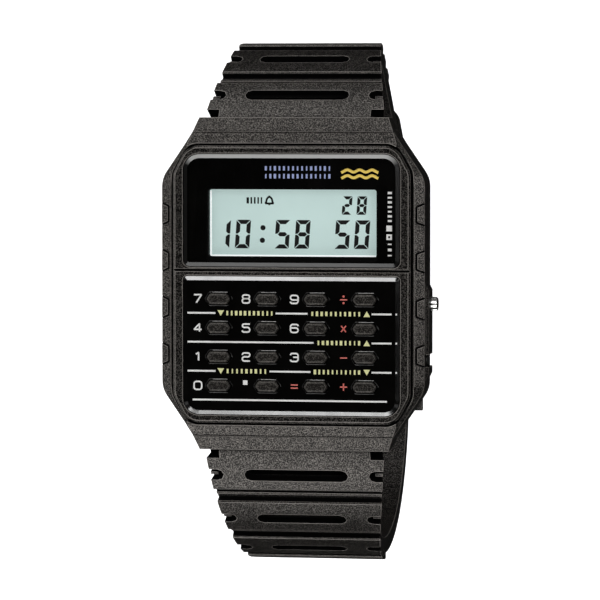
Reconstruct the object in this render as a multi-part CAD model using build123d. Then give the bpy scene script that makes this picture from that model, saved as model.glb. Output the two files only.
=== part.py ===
from build123d import *
import math
import os

# A calculator wristwatch, standing face up on its closed strap.
# Millimetres. +Z points out of the face, +Y to 12 o'clock, +X to the two side buttons at 3 o'clock.
# The origin is the centre of the case back's outer face.

# Case, measured from the middle unless it says otherwise
case_half_width = 17.2
case_half_length = 21.6
case_floor = 0.35
corner_setback = 7.9
shoulder_inset = 3.0
shoulder_setback = 3.5
lug_inset = 4.2
lug_setback = 1.6
tip_inset = 4.8
corner_start = case_half_length - corner_setback
shoulder_half_width = case_half_width - shoulder_inset
shoulder_length = case_half_length - shoulder_setback
lug_half_width = case_half_width - lug_inset
lug_length = case_half_length - lug_setback
tip_half_width = case_half_width - tip_inset
corner_radius = 3.5
shoulder_radius = 1.5
band_level = 6.95
band_drop = 0.75
band_width = 1.25
hood_setback = 3.35
hood_start = case_half_length - hood_setback
hood_start_level = 7.25
hood_fold_setback = 1.85
hood_fold = case_half_length - hood_fold_setback
hood_fold_level = 6.5
hood_tip_level = 5.5
hood_inset = 3.55
hood_fold_inset = 4.1
hood_half_width = case_half_width - hood_inset
hood_fold_half_width = case_half_width - hood_fold_inset
tip_under_level = 2.6
tip_turn = 1.0
tip_floor_length = case_half_length - tip_turn

# Bezel and the two openings in it
bezel_inset = 1.7
bezel_moat = 0.3
bezel_half_width = case_half_width - bezel_inset
bezel_half_length = hood_start - bezel_moat
bezel_level = 7.6
bezel_cut_width = 1.9
bezel_cut_length = 3.55
bezel_corner_width = bezel_half_width - bezel_cut_width
bezel_corner_length = bezel_half_length - bezel_cut_length
bezel_corner_radius = 2.4
bezel_edge = 0.28
moat_floor = 6.5
bridge_groove_place = 1.85
bridge_groove_width = 0.36
bridge_groove_depth = 0.3
seat_level = 6.7
web_thickness = 1.2

# Display lens, its mask and the keypad panel
panel_inset = 1.4
panel_setback = 1.1
panel_half_width = bezel_half_width - panel_inset
panel_gap = 0.12
panel_level = 7.7
panel_bevel = 0.5
panel_bevel_drop = 0.16
lens_low = 2.35
lens_high = bezel_half_length - panel_setback
lens_low_radius = 0.8
lens_high_radius = 2.1
keypad_low = -lens_high
keypad_high = 1.05
keypad_low_radius = 2.0
keypad_high_radius = 0.5
mask_thickness = 0.2
mask_half_width = 11.2
mask_window_low = 2.98
mask_window_high = 12.4
mask_window_radius = 0.45
view_half_width = 11.0
view_low = 3.6
view_high = 12.3
view_radius = 0.3

# Keys, four columns of four
key_names = (
    ("7", "8", "9", "divide"),
    ("4", "5", "6", "times"),
    ("1", "2", "3", "minus"),
    ("0", "point", "equals", "plus"),
)
key_length = 3.15
key_width = 1.36
key_flat_share = 0.72
key_corner_cut = 0.12
key_level = 8.2
key_edge = 0.17
key_pitch_x = 6.36
key_pitch_y = 3.755
key_top_row = -1.85
key_middle_column = 0.1
key_travel = 0.4
key_hole_gap = 0.13
key_flange = 0.32
key_flange_height = 0.4
key_stop_gap = 0.1

# Teeth along both side bands
tooth_places = (9.1, 3.04, -3.04, -9.1)
tooth_inner_length = 1.85
tooth_outer_length = 2.5
tooth_inset = 0.95
tooth_line = 0.2
tooth_line_depth = 0.2
tooth_rise = 0.06

# Button guard on the right side
guard_reach = 0.45
guard_half_width = case_half_width + guard_reach
guard_high = 0.2
guard_low = -12.35
guard_floor = 1.5
guard_level = 5.7
guard_slope = 0.9
guard_notch_high = -9.0
guard_notch_low = -10.6

# Module space inside the case
cavity_inset = 0.5
cavity_setback = 1.55
cavity_half_width = panel_half_width - cavity_inset
cavity_half_length = bezel_half_length - cavity_setback
cavity_corner = 3.2
cavity_level = seat_level - web_thickness

# Case back, gasket and screws
back_thickness = 0.75
back_rim_width = 1.3
back_rim_length = 0.95
back_half_width = cavity_half_width + back_rim_width
back_half_length = cavity_half_length + back_rim_length
back_corner = 1.2
back_gap = 0.1
back_step = 0.15
back_step_margin = 2.6
gasket_offset = 0.55
gasket_width = 0.46
gasket_height = 0.45
gasket_gap = 0.03
screw_x = 13.3
screw_y = 15.6
screw_head_radius = 1.0
screw_head_height = 0.45
screw_radius = 0.5
screw_length = 3.0
screw_gap = 0.03
screw_hole_extra = 0.25
screw_cross_length = 1.2
screw_cross_width = 0.26
screw_cross_depth = 0.25

# Module: plastic frame, circuit board and what is on it
frame_gap = 0.3
frame_half_width = cavity_half_width - frame_gap
frame_half_length = cavity_half_length - frame_gap
frame_corner = 3.3
frame_floor = 0.8
frame_wall = 0.75
frame_level = 5.3
board_gap = 0.05
board_floor = 3.0
board_thickness = 0.6
board_corner_inset = 0.3
chip_size = 6.0
chip_height = 0.9
chip_drop_radius = 2.15
chip_place = (-5.6, 10.6)
crystal_radius = 0.75
crystal_length = 5.0
crystal_edge = 0.2
crystal_place = (6.2, 13.2)
coil_radius = 1.9
coil_core_radius = 0.7
coil_height = 1.3
coil_disc = 0.26
coil_place = (6.6, 9.6)
small_part_length = 1.4
small_part_width = 0.7
small_part_height = 0.6
small_part_places = ((-10.3, 8.4), (-10.3, 10.2), (-10.3, 12.0), (0.4, 8.6), (0.4, 10.6), (0.4, 12.6))
pocket_gap = 0.3
piezo_pocket = 0.3

# Battery and its contacts
battery_radius = 10.0
battery_thickness = 1.6
battery_place = -4.2
battery_gap = 0.3
battery_cap_radius = 8.7
battery_step = 0.25
battery_edge = 0.15
clip_thickness = 0.15
clip_width = 4.6
clip_finger = 0.9
film_thickness = 0.1
film_gap = 0.05

# Sounder on the case back
piezo_radius = 6.2
piezo_thickness = 0.15
piezo_crystal_radius = 4.4
piezo_crystal_thickness = 0.1
piezo_place = (0.4, 9.2)
piezo_spring_radius = 0.55
piezo_spring_wire = 0.11
piezo_spring_turns = 4
piezo_spring_place = (3.1, 6.2)
coil_sides = 12
wire_sides = 6

# Display glass, reflector and contact strips
glass_half_width = 11.7
glass_low = 2.2
glass_high = 13.2
glass_ledge = 0.75
glass_thickness = 0.55
polariser_thickness = 0.1
reflector_thickness = 0.1
contact_strip_width = 0.7
contact_strip_length = 23.0
glass_roof_gap = 0.05

# Rubber key mat
mat_half_width = 11.2
mat_low = -15.0
mat_high = 0.9
mat_thickness = 0.5
dome_radius = 0.85
dome_top_radius = 0.6
dome_gap = 0.05
dome_sides = 8

# Side buttons
button_level = 3.4
mode_button_place = -2.52
mode_button_reach = 1.4
mode_button_tip = case_half_width + mode_button_reach
mode_head_radius = 0.93
mode_stem_radius = 0.55
mode_travel = 0.6
adjust_button_place = -9.8
adjust_button_reach = 0.2
adjust_button_tip = case_half_width + adjust_button_reach
adjust_head_radius = 0.75
adjust_stem_radius = 0.45
adjust_travel = 0.35
button_gap = 0.08
stem_gap = 0.06
button_edge = 0.15
flute_count = 16
flute_depth = 0.12
spring_floor_reach = 1.3
spring_floor = cavity_half_width + spring_floor_reach
spring_turns = 3
spring_wire = 0.09
spring_end_gap = 0.03
head_back_depth = 1.35
seal_reach = 0.7
seal_place = cavity_half_width + seal_reach
seal_wire = 0.11
seal_gap = 0.02
seal_groove_depth = 0.16
clip_disc_radius = 0.92
clip_disc_thickness = 0.2
clip_groove_depth = 0.14
clip_wall_gap = 0.05
clip_fit = 0.02
stem_end_length = 0.3
bay_depth = 1.0
bay_half_width = 1.3
bay_half_height = 1.4
contact_leaf_thickness = 0.15
contact_leaf_width = 1.6
contact_leaf_height = 0.6
contact_gap = 0.05
contact_foot = 0.9

# Spring bars and the strap ends that hold them
bar_setback = 2.1
bar_place = case_half_length - bar_setback
bar_level = 2.2
bar_radius = 0.6
bar_tip_radius = 0.4
bar_tip_length = 1.0
bar_shoulder_gap = 0.1
bar_gap = 0.05
bar_inset = 0.12
strap_boss_radius = 1.65
strap_neck = 1.5
strap_shoulder = 0.8
lug_wall = 1.0
pocket_depth = 3.85
pocket_half_width = lug_half_width - lug_wall
pocket_wall = case_half_length - pocket_depth
pocket_level = 5.12

# Strap: each half is a band of raised plates that bends round the wrist.
# A leg of a path is (radius, turn in degrees), and radius 0 means a straight run of that length.
strap_start_level = 5.0
strap_thickness = 3.0
plate_relief = 0.8
strap_side_gap = 0.15
strap_half_width = pocket_half_width - strap_side_gap
strap_mid_taper = 1.9
strap_mid_half_width = strap_half_width - strap_mid_taper
strap_mid_level = -5.0
strap_taper = 3.0
strap_slim_half_width = strap_half_width - strap_taper
strap_slim_level = -19.0
first_plate = 6.4
plate_length = 6.1
plate_recess = 2.0
plate_count = 4
plate_edge = 0.18
recess_rib = 0.4
recess_rib_rise = 0.2
top_heading = 38.0
top_legs = ((30.0, 27.3), (11.0, 50.0), (55.0, 10.0))
top_straight = 14.0
bottom_heading = 20.0
bottom_legs = ((25.5, 70.0), (28.0, 22.0), (24.0, 30.0))
strap_floor = -43.1
layer_gap = 0.15
tail_straight = 9.0
tail_end_radius = 5.0

# Slots, notches and tongue holes in the strap
slot_length = 13.7
slot_step = 1.75
slot_width = 1.75
slot_depth = 0.9
slot_inner_margin = 0.45
slot_inner_depth = 1.5
slot_first_place = 3.87
slot_place_share = 0.54
edge_notch_length = 1.9
edge_notch_width = 1.65
edge_notch_depth = 1.2
edge_bar_length = 1.1
edge_bar_width = 0.45
edge_bar_drop = 0.45
corner_notch_width = 1.9
corner_notch_length = 1.3
corner_notch_depth = 1.6
tongue_hole_length = 4.0
tongue_hole_width = 1.9
tongue_hole_corner = 0.4
tongue_hole_pitch = 5.5
tongue_holes_before = 2
tongue_holes_after = 4
tongue_hole_setback = 0.5

# Buckle and keeper under the wrist
buckle_place = -10.0
buckle_bar_radius = 0.65
buckle_bar_gap = 0.06
buckle_boss_radius = 1.35
buckle_hub_radius = 1.5
buckle_side_gap = 0.3
buckle_arm = 1.5
buckle_length = 9.2
front_bar_width = 2.0
front_bar_height = 1.2
front_bar_radius = 0.4
strap_bar_gap = 0.1
tongue_width = 1.3
tongue_thickness = 0.8
tongue_barrel_radius = 1.15
tongue_slot_half_width = 1.0
tongue_side_gap = 0.1
tongue_bend_radius = 0.5
tongue_bend_place = 4.4
tongue_tip_overhang = 1.0
tongue_notch_gap = 0.08
tongue_notch_width = 1.8
fixed_loop_place = -6.2
fixed_loop_width = 3.2
keeper_place = 2.2
keeper_width = 3.6
keeper_side_wall = 1.2
keeper_side_gap = 0.25
keeper_wall = 1.5
keeper_inner_wall = 1.1
keeper_edge = 0.6
keeper_inner_gap = 0.1

overrun = 1.0
round_sides = 16
thin_radius = 1.6
slot_end_sides = 4
far_reach = 65.0
shortest_edge = 0.002

os.makedirs("parts", exist_ok=True)


def block(x_span, y_span, z_span):
    """A box between three pairs of limits."""
    middle = Pos(sum(x_span) / 2, sum(y_span) / 2, sum(z_span) / 2)
    return middle * Box(x_span[1] - x_span[0], y_span[1] - y_span[0], z_span[1] - z_span[0])


def slab(outline, low, high):
    """A flat outline raised between two levels."""
    return Pos(0, 0, low) * extrude(outline, high - low)


def side_extrusion(outline, half_width):
    """An outline drawn in Y and Z, thickened both ways along X."""
    return extrude(Plane.YZ * outline, half_width, both=True)


def disc(radius):
    """A circle, or for a thin part a polygon that keeps its facets few."""
    return Circle(radius) if radius > thin_radius else RegularPolygon(radius, round_sides)


def rod(radius, start, end):
    """A round bar between two points."""
    way = Vector(*end) - Vector(*start)
    return extrude(Plane(origin=start, z_dir=way) * disc(radius), way.length)


def cone(low_radius, high_radius, height, sides):
    """A tapered bar that stands on the origin."""
    low, high = RegularPolygon(low_radius, sides), RegularPolygon(high_radius, sides)
    return loft([low, Pos(0, 0, height) * high], ruled=True)


def stadium(length, width):
    """A slot's outline, with few-sided round ends."""
    radius, middle = width / 2, (length - width) / 2
    turns = [math.pi * (index / slot_end_sides - 1 / 2) for index in range(slot_end_sides + 1)]
    right = [(middle + radius * math.cos(turn), radius * math.sin(turn)) for turn in turns]
    return make_face(Polyline(*right, *[(-x, -y) for x, y in right], close=True))


def tube(radius, bore, start, end):
    return rod(radius, start, end) - rod(bore, start, end)


def mirrored_outline(points):
    """A closed outline from its quarter in +X and +Y, listed from the X side to the Y side."""
    upper = points + [(-x, y) for x, y in reversed(points)]
    lower = [(-x, -y) for x, y in upper]
    return make_face(Polyline(*upper, *lower, close=True))


def round_corners(face, radius, chosen):
    return fillet([v for v in face.vertices() if chosen(v)], radius)


def octagon(half_width, half_length, corner):
    return mirrored_outline([(half_width, half_length - corner), (half_width - corner, half_length)])


def panel_outline(half_width, low, high, low_radius, high_radius):
    """A rectangle whose lower and upper corners have their own radii."""
    middle = (low + high) / 2
    face = Pos(0, middle) * Rectangle(2 * half_width, high - low)
    face = round_corners(face, high_radius, lambda v: v.Y > middle)
    return round_corners(face, low_radius, lambda v: v.Y < middle and v.Y < low + low_radius / 2)


def window(half_width, low, high, radius):
    return Pos(0, (low + high) / 2) * RectangleRounded(2 * half_width, high - low, radius)


def chamfer_top(body, inward, drop):
    top = body.faces().sort_by(Axis.Z)[-1]
    return chamfer(top.edges(), inward, drop, reference=top)


def save(name, shape):
    shape.label = name
    export_step(shape, f"parts/{name}.step")


def key_place(row, column):
    x = key_middle_column + (column - (len(key_names[0]) - 1) / 2) * key_pitch_x
    return x, key_top_row - row * key_pitch_y


def key_outline():
    """A long hexagon with soft corners."""
    half, flat, tall = key_length / 2, key_length * key_flat_share / 2, key_width / 2
    points = [(half, 0), (flat, tall), (-flat, tall), (-half, 0), (-flat, -tall), (flat, -tall)]
    return chamfer(make_face(Polyline(*points, close=True)).vertices(), key_corner_cut)


def key_holes(gap, low, high):
    hole = offset(key_outline(), gap, kind=Kind.INTERSECTION)
    rows, columns = range(len(key_names)), range(len(key_names[0]))
    return [slab(Pos(*key_place(row, column)) * hole, low, high) for row in rows for column in columns]


# Case: outer body

def case_outline():
    face = mirrored_outline([
        (case_half_width, corner_start),
        (shoulder_half_width, shoulder_length),
        (lug_half_width, lug_length),
        (tip_half_width, case_half_length),
    ])
    face = round_corners(face, corner_radius, lambda v: abs(v.X) > shoulder_half_width + overrun)
    near = lug_length - overrun
    return round_corners(face, shoulder_radius, lambda v: shoulder_half_width - overrun / 2 < abs(v.X)
                         and bezel_corner_length + corner_radius / 2 < abs(v.Y) < near)


def bezel_outline():
    face = mirrored_outline([
        (bezel_half_width, bezel_corner_length),
        (bezel_corner_width, bezel_half_length),
    ])
    return fillet(face.vertices(), bezel_corner_radius)


def hood_outline():
    """Both hoods seen from above, with the bezel between them."""
    return mirrored_outline([
        (hood_half_width, bezel_half_length - bezel_edge),
        (hood_half_width, hood_start),
        (hood_fold_half_width, hood_fold),
        (tip_half_width, case_half_length),
    ])


def hood_limit():
    """The case from the side: two facets fall to each tip, and the lugs turn up underneath."""
    return side_extrusion(mirrored_side([
        (tip_floor_length, case_floor),
        (case_half_length, tip_under_level),
        (case_half_length, hood_tip_level),
        (hood_fold, hood_fold_level),
        (hood_start, hood_start_level),
        (hood_start - bezel_moat, bezel_level),
    ]), case_half_width + overrun)


def mirrored_side(points):
    """A closed outline in Y and Z from its +Y half, listed from the bottom up."""
    return make_face(Polyline(*points, *[(-y, z) for y, z in reversed(points)], close=True))


def banded_body():
    """The case body with its sloping band all round."""
    return chamfer_top(slab(case_outline(), case_floor, band_level), band_width, band_drop)


def tooth_plane(place):
    """A plane on the sloping band, X down the slope and Y along the case."""
    middle_x = case_half_width - band_width / 2
    origin = (middle_x, place, band_level - band_drop / 2)
    return Plane(origin=origin, x_dir=(band_width, 0, -band_drop), z_dir=(band_drop, 0, band_width))


def tooth_shape(place, margin, low, high):
    """A trapezoid that widens towards the outer edge of the band."""
    inner = -band_width / 2 + (band_width - tooth_inset) - margin
    outer = band_width + overrun
    growth = (tooth_outer_length - tooth_inner_length) / tooth_inset / 2
    inner_half = tooth_inner_length / 2 + margin - growth * margin
    outer_half = inner_half + growth * (outer - inner)
    points = [(inner, inner_half), (outer, outer_half), (outer, -outer_half), (inner, -inner_half)]
    face = make_face(Polyline(*points, close=True))
    plane = tooth_plane(place)
    return extrude(plane.offset(low) * face, high - low)


def both_sides(shape):
    return [shape, mirror(shape, Plane.YZ)]


def cut_teeth(body):
    edge = slab(case_outline(), case_floor, band_level)
    for place in tooth_places:
        line = tooth_shape(place, tooth_line, -tooth_line_depth, band_drop)
        pad = tooth_shape(place, 0, -tooth_line_depth - tooth_rise, tooth_rise) & edge
        body -= both_sides(line)
        body += both_sides(pad)
    return body


def guard():
    """The raised block that shields the buttons, notched for the lower one."""
    low_end = guard_low + guard_slope
    high_end = guard_high - guard_slope
    inner = case_half_width - band_width / 2
    points = [
        (inner, guard_high), (case_half_width, guard_high), (guard_half_width, high_end),
        (guard_half_width, low_end), (case_half_width, guard_low), (inner, guard_low),
    ]
    body = slab(make_face(Polyline(*points, close=True)), guard_floor, guard_level)
    top = [e for e in body.edges() if e.center().Z > guard_level - panel_gap and e.center().X > case_half_width]
    body = chamfer(top, band_drop / 2)
    return body - block((case_half_width, guard_half_width + overrun), (guard_notch_low, guard_notch_high),
                        (guard_floor - overrun, guard_level + overrun))


def strap_pocket(side):
    """The space between the lugs, open below and at the tip, that takes the strap's end."""
    y_span = sorted((side * pocket_wall, side * (case_half_length + overrun)))
    return block((-pocket_half_width, pocket_half_width), y_span, (-overrun, pocket_level))


def bar_hole(side):
    x = lug_half_width + overrun
    return rod(bar_tip_radius + bar_gap, (-x, side * bar_place, bar_level), (x, side * bar_place, bar_level))


def lens_recess():
    return slab(panel_outline(panel_half_width + panel_gap, lens_low - panel_gap, lens_high + panel_gap,
                              lens_low_radius + panel_gap, lens_high_radius + panel_gap),
                seat_level, bezel_level + overrun)


def keypad_recess():
    return slab(panel_outline(panel_half_width + panel_gap, keypad_low - panel_gap, keypad_high + panel_gap,
                              keypad_low_radius + panel_gap, keypad_high_radius + panel_gap),
                seat_level, bezel_level + overrun)


def bridge_groove():
    """The V that crosses the bezel between the two panels."""
    half = bridge_groove_width / 2
    points = [(-half, bezel_level), (0, bezel_level - bridge_groove_depth), (half, bezel_level)]
    lift = [(half, bezel_level + overrun), (-half, bezel_level + overrun)]
    vee = make_face(Polyline(*points, *lift, close=True))
    return side_extrusion(Pos(bridge_groove_place, 0) * vee, bezel_half_width + overrun)


def gasket_ring(gap):
    middle = octagon(cavity_half_width + gasket_offset, cavity_half_length + gasket_offset, cavity_corner)
    half = gasket_width / 2 + gap
    return offset(middle, half, kind=Kind.INTERSECTION) - offset(middle, -half, kind=Kind.INTERSECTION)


def back_outline(margin):
    return octagon(back_half_width + margin, back_half_length + margin, back_corner + margin)


def screw_places():
    return [(x, y) for x in (screw_x, -screw_x) for y in (screw_y, -screw_y)]


def button_bores(button):
    """The stepped hole through the case wall for one side button."""
    y, z = button["place"], button_level
    stem = rod(button["stem"] + stem_gap, (cavity_half_width - overrun, y, z), (spring_floor, y, z))
    head = rod(button["head"] + button_gap, (spring_floor, y, z), (guard_half_width + overrun, y, z))
    return [stem, head]


def make_case():
    body = banded_body()
    body += slab(hood_outline(), hood_tip_level, bezel_level)
    body &= hood_limit()
    body -= slab(offset(bezel_outline(), bezel_moat), moat_floor, bezel_level + overrun)
    bezel = slab(bezel_outline(), moat_floor - overrun, bezel_level)
    bezel = chamfer(bezel.faces().sort_by(Axis.Z)[-1].edges(), bezel_edge)
    body += bezel
    body = cut_teeth(body)
    body += guard()
    body -= bridge_groove()
    body -= [lens_recess(), keypad_recess()]
    cavity = octagon(cavity_half_width, cavity_half_length, cavity_corner)
    body -= slab(cavity, 0, cavity_level)
    body -= slab(back_outline(back_gap), 0, back_thickness)
    groove = (back_thickness - gasket_gap, back_thickness + gasket_height + gasket_gap)
    body -= slab(gasket_ring(gasket_gap), *groove)
    body -= slab(window(view_half_width, view_low, view_high, view_radius), cavity_level - overrun, bezel_level)
    body -= key_holes(key_hole_gap, cavity_level - overrun, bezel_level)
    for side in (1, -1):
        body -= [strap_pocket(side), bar_hole(side)]
    for x, y in screw_places():
        body -= rod(screw_radius + screw_gap, (x, y, 0), (x, y, back_thickness + screw_length))
    for button in buttons:
        body -= button_bores(button)
    return body


# Front: lens, mask and keypad panel

def bevelled_panel(outline, low):
    """A panel whose top edge has a wide shallow bevel."""
    return chamfer_top(slab(outline, low, panel_level), panel_bevel, panel_bevel_drop)


def make_lens():
    outline = panel_outline(panel_half_width, lens_low, lens_high, lens_low_radius, lens_high_radius)
    return bevelled_panel(outline, seat_level + mask_thickness)


def make_mask():
    outline = panel_outline(panel_half_width, lens_low, lens_high, lens_low_radius, lens_high_radius)
    outline -= window(mask_half_width, mask_window_low, mask_window_high, mask_window_radius)
    return slab(outline, seat_level, seat_level + mask_thickness)


def make_keypad_panel():
    outline = panel_outline(panel_half_width, keypad_low, keypad_high, keypad_low_radius, keypad_high_radius)
    return bevelled_panel(outline, seat_level) - key_holes(key_hole_gap, seat_level - overrun, key_level)


def make_key(row, column):
    """One key: a capped column above a flange that stops under the case's web."""
    flange_level = cavity_level - key_stop_gap
    cap = slab(key_outline(), flange_level - key_flange_height, key_level)
    cap = chamfer_top(cap, key_edge, key_edge)
    skirt = offset(key_outline(), key_flange, kind=Kind.INTERSECTION)
    flange = slab(skirt, flange_level - key_flange_height, flange_level)
    return Pos(*key_place(row, column), 0) * (cap + flange)


def make_key_mat():
    board_level = board_floor + board_thickness
    key_floor = cavity_level - key_stop_gap - key_flange_height
    outline = window(mat_half_width, mat_low, mat_high, mat_thickness)
    sheet = slab(outline, board_level, board_level + mat_thickness)
    dome_height = key_floor - key_travel - dome_gap - board_level - mat_thickness
    dome = cone(dome_radius, dome_top_radius, dome_height, dome_sides)
    for row in range(len(key_names)):
        for column in range(len(key_names[0])):
            sheet += Pos(*key_place(row, column), board_level + mat_thickness) * dome
    return sheet & slab(board_outline(), board_level, key_floor)


# Display glass

def make_glass():
    """Two plates of glass with a ledge for the contacts, and the top polariser."""
    top = cavity_level - glass_roof_gap
    upper_low, upper_high = glass_low + glass_ledge, glass_high - glass_ledge
    seam = top - polariser_thickness - glass_thickness
    x_span = (-glass_half_width, glass_half_width)
    lower = block(x_span, (glass_low, glass_high), (seam - glass_thickness, seam))
    upper = block(x_span, (upper_low, upper_high), (seam, seam + glass_thickness))
    half = glass_half_width - polariser_thickness
    margin = polariser_thickness
    film = block((-half, half), (upper_low + margin, upper_high - margin), (top - polariser_thickness, top))
    return lower + upper + film


def glass_floor():
    return cavity_level - glass_roof_gap - polariser_thickness - 2 * glass_thickness


def make_reflector():
    margin = glass_ledge / 2 + contact_strip_width + film_gap
    top = glass_floor()
    half = glass_half_width - glass_ledge
    return block((-half, half), (glass_low + margin, glass_high - margin), (top - reflector_thickness, top))


def make_contact_strips():
    """Two rubber strips that join the glass to the board."""
    low, high = board_floor + board_thickness, glass_floor()
    half = contact_strip_length / 2
    inset = glass_ledge / 2
    near = block((-half, half), (glass_low + inset, glass_low + inset + contact_strip_width), (low, high))
    far = block((-half, half), (glass_high - inset - contact_strip_width, glass_high - inset), (low, high))
    return Compound([near, far])


# Module

def button_bays():
    """Room at the edge of the module for the two stems and their clips."""
    start = frame_half_width - bay_depth
    half, tall = bay_half_width, bay_half_height
    return [block((start, frame_half_width + overrun), (button["place"] - half, button["place"] + half),
                  (button_level - tall, button_level + tall)) for button in buttons]


def battery_floor():
    return back_thickness + film_thickness + clip_thickness


def make_module_frame():
    outline = octagon(frame_half_width, frame_half_length, frame_corner)
    body = slab(outline, frame_floor, frame_level)
    body -= slab(offset(outline, -frame_wall, kind=Kind.INTERSECTION), board_floor, frame_level)
    body -= rod(battery_radius + battery_gap, (0, battery_place, 0), (0, battery_place, board_floor))
    clip_half = clip_width / 2 + pocket_gap
    clip_reach = battery_radius + battery_gap + clip_thickness + pocket_gap
    clip_span = (battery_place - clip_half, battery_place + clip_half)
    body -= block((-clip_reach, clip_reach), clip_span, (0, board_floor))
    body -= rod(piezo_radius + pocket_gap, (*piezo_place, 0), (*piezo_place, frame_floor + piezo_pocket))
    for pocket in component_pockets():
        body -= pocket
    return body - button_bays()


def component_pockets():
    half = chip_size / 2 + pocket_gap
    low = frame_floor + piezo_thickness
    chip_x, chip_y = chip_place
    coil = rod(coil_radius + pocket_gap, (*coil_place, low), (*coil_place, board_floor))
    crystal_x, crystal_y = crystal_place
    reach = crystal_length / 2 + pocket_gap
    tall = crystal_radius + pocket_gap
    spring = piezo_spring_radius + piezo_spring_wire + pocket_gap
    pockets = [
        block((chip_x - half, chip_x + half), (chip_y - half, chip_y + half), (low, board_floor)),
        coil,
        block((crystal_x - reach, crystal_x + reach), (crystal_y - tall, crystal_y + tall), (low, board_floor)),
        rod(spring, (*piezo_spring_place, 0), (*piezo_spring_place, board_floor)),
    ]
    for x, y in small_part_places:
        reach_x, reach_y = small_part_length / 2 + pocket_gap, small_part_width / 2 + pocket_gap
        pockets.append(block((x - reach_x, x + reach_x), (y - reach_y, y + reach_y), (low, board_floor)))
    return pockets


def board_outline():
    margin = frame_wall + board_gap
    return octagon(frame_half_width - margin, frame_half_length - margin, frame_corner + board_corner_inset)


def make_board():
    return slab(board_outline(), board_floor, board_floor + board_thickness) - button_bays()


def make_chip():
    """The processor under its round drop of black resin."""
    x, y = chip_place
    half = chip_size / 2
    base = block((x - half, x + half), (y - half, y + half), (board_floor - chip_height / 2, board_floor))
    drop = rod(chip_drop_radius, (x, y, board_floor - chip_height), (x, y, board_floor - chip_height / 2))
    return base + drop


def make_crystal():
    x, y = crystal_place
    z = board_floor - crystal_radius
    reach = crystal_length / 2
    body = rod(crystal_radius, (x - reach, y, z), (x + reach, y, z))
    return chamfer(body.faces().sort_by(Axis.X)[-1].edges(), crystal_edge)


def make_coil():
    """A booster coil: a winding between two discs on a ferrite core."""
    x, y = coil_place
    low = board_floor - coil_height
    core = rod(coil_core_radius, (x, y, low), (x, y, board_floor))
    discs = [rod(coil_radius, (x, y, z), (x, y, z + coil_disc)) for z in (low, board_floor - coil_disc)]
    winding = rod(coil_radius - coil_disc, (x, y, low + coil_disc), (x, y, board_floor - coil_disc))
    return core + discs + winding


def make_small_parts():
    half, wide = small_part_length / 2, small_part_width / 2
    z_span = (board_floor - small_part_height, board_floor)
    return Compound([block((x - half, x + half), (y - wide, y + wide), z_span)
                     for x, y in small_part_places])


def make_battery():
    """A coin cell with a stepped rim."""
    low = battery_floor()
    high = low + battery_thickness
    can = rod(battery_radius, (0, battery_place, low), (0, battery_place, high - battery_step))
    can = chamfer(can.faces().sort_by(Axis.Z)[0].edges(), battery_edge)
    return can + rod(battery_cap_radius, (0, battery_place, high - battery_step), (0, battery_place, high))


def make_battery_clip():
    """A sprung strap under the cell, folded up to the board at both ends and slit into two fingers."""
    low = back_thickness + film_thickness
    reach = battery_radius + battery_gap + clip_thickness
    y_span = (battery_place - clip_width / 2, battery_place + clip_width / 2)
    strap = block((-reach, reach), y_span, (low, low + clip_thickness))
    for side in (1, -1):
        x_span = sorted((side * reach, side * (reach - clip_thickness)))
        strap += block(x_span, y_span, (low, board_floor))
    slit = clip_finger / 2
    slit_span = (battery_place - slit, battery_place + slit)
    return strap - block((-reach / 2, reach / 2), slit_span, (0, board_floor))


def make_battery_film():
    low = battery_floor() + battery_thickness + film_gap
    return rod(battery_radius, (0, battery_place, low), (0, battery_place, low + film_thickness))


def make_piezo():
    """A brass disc with its thin ceramic layer."""
    x, y = piezo_place
    top = back_thickness + piezo_thickness
    disc = rod(piezo_radius, (x, y, back_thickness), (x, y, top))
    return disc + rod(piezo_crystal_radius, (x, y, top), (x, y, top + piezo_crystal_thickness))


def coil_spring(radius, wire, turns, length):
    """A coil of six-sided wire, bent in short straight stretches."""
    run = length - 2 * wire
    count = turns * coil_sides
    turn = 2 * math.pi / coil_sides
    points = [(radius * math.cos(i * turn), radius * math.sin(i * turn), wire + run * i / count)
              for i in range(count + 1)]
    line = Polyline(*points)
    start = Plane(origin=line @ 0, z_dir=line % 0)
    return sweep(start * RegularPolygon(wire, wire_sides), line, transition=Transition.RIGHT)


def make_piezo_spring():
    x, y = piezo_spring_place
    low = back_thickness + piezo_thickness + piezo_crystal_thickness + film_gap
    height = board_floor - film_gap - low
    spring = coil_spring(piezo_spring_radius, piezo_spring_wire, piezo_spring_turns, height)
    return Pos(x, y, low) * spring


# Case back

def make_case_back():
    """A steel plate with a pressed middle and four countersunk holes."""
    body = slab(back_outline(0), back_step, back_thickness)
    middle = octagon(back_half_width - back_step_margin, back_half_length - back_step_margin, back_corner)
    body += chamfer_bottom(slab(middle, 0, back_step), back_step / 2)
    for x, y in screw_places():
        body -= rod(screw_radius + screw_gap, (x, y, 0), (x, y, back_thickness + overrun))
        body -= Pos(x, y, back_step) * screw_head(screw_gap)
    return body


def chamfer_bottom(body, size):
    return chamfer(body.faces().sort_by(Axis.Z)[0].edges(), size)


def screw_head(gap):
    return cone(screw_head_radius + gap, screw_radius + gap, screw_head_height, round_sides)


def make_screws():
    screws = []
    cross = screw_cross_length / 2
    slit = screw_cross_width / 2
    end = back_thickness + screw_length - screw_hole_extra
    for x, y in screw_places():
        body = Pos(x, y, back_step) * screw_head(0)
        body += rod(screw_radius, (x, y, back_step), (x, y, end))
        for reach_x, reach_y in ((cross, slit), (slit, cross)):
            body -= block((x - reach_x, x + reach_x), (y - reach_y, y + reach_y),
                          (0, back_step + screw_cross_depth))
        screws.append(body)
    return Compound(screws)


def make_gasket():
    return slab(gasket_ring(0), back_thickness, back_thickness + gasket_height)


# Side buttons, each with a spring, a seal and a retaining clip

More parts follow.
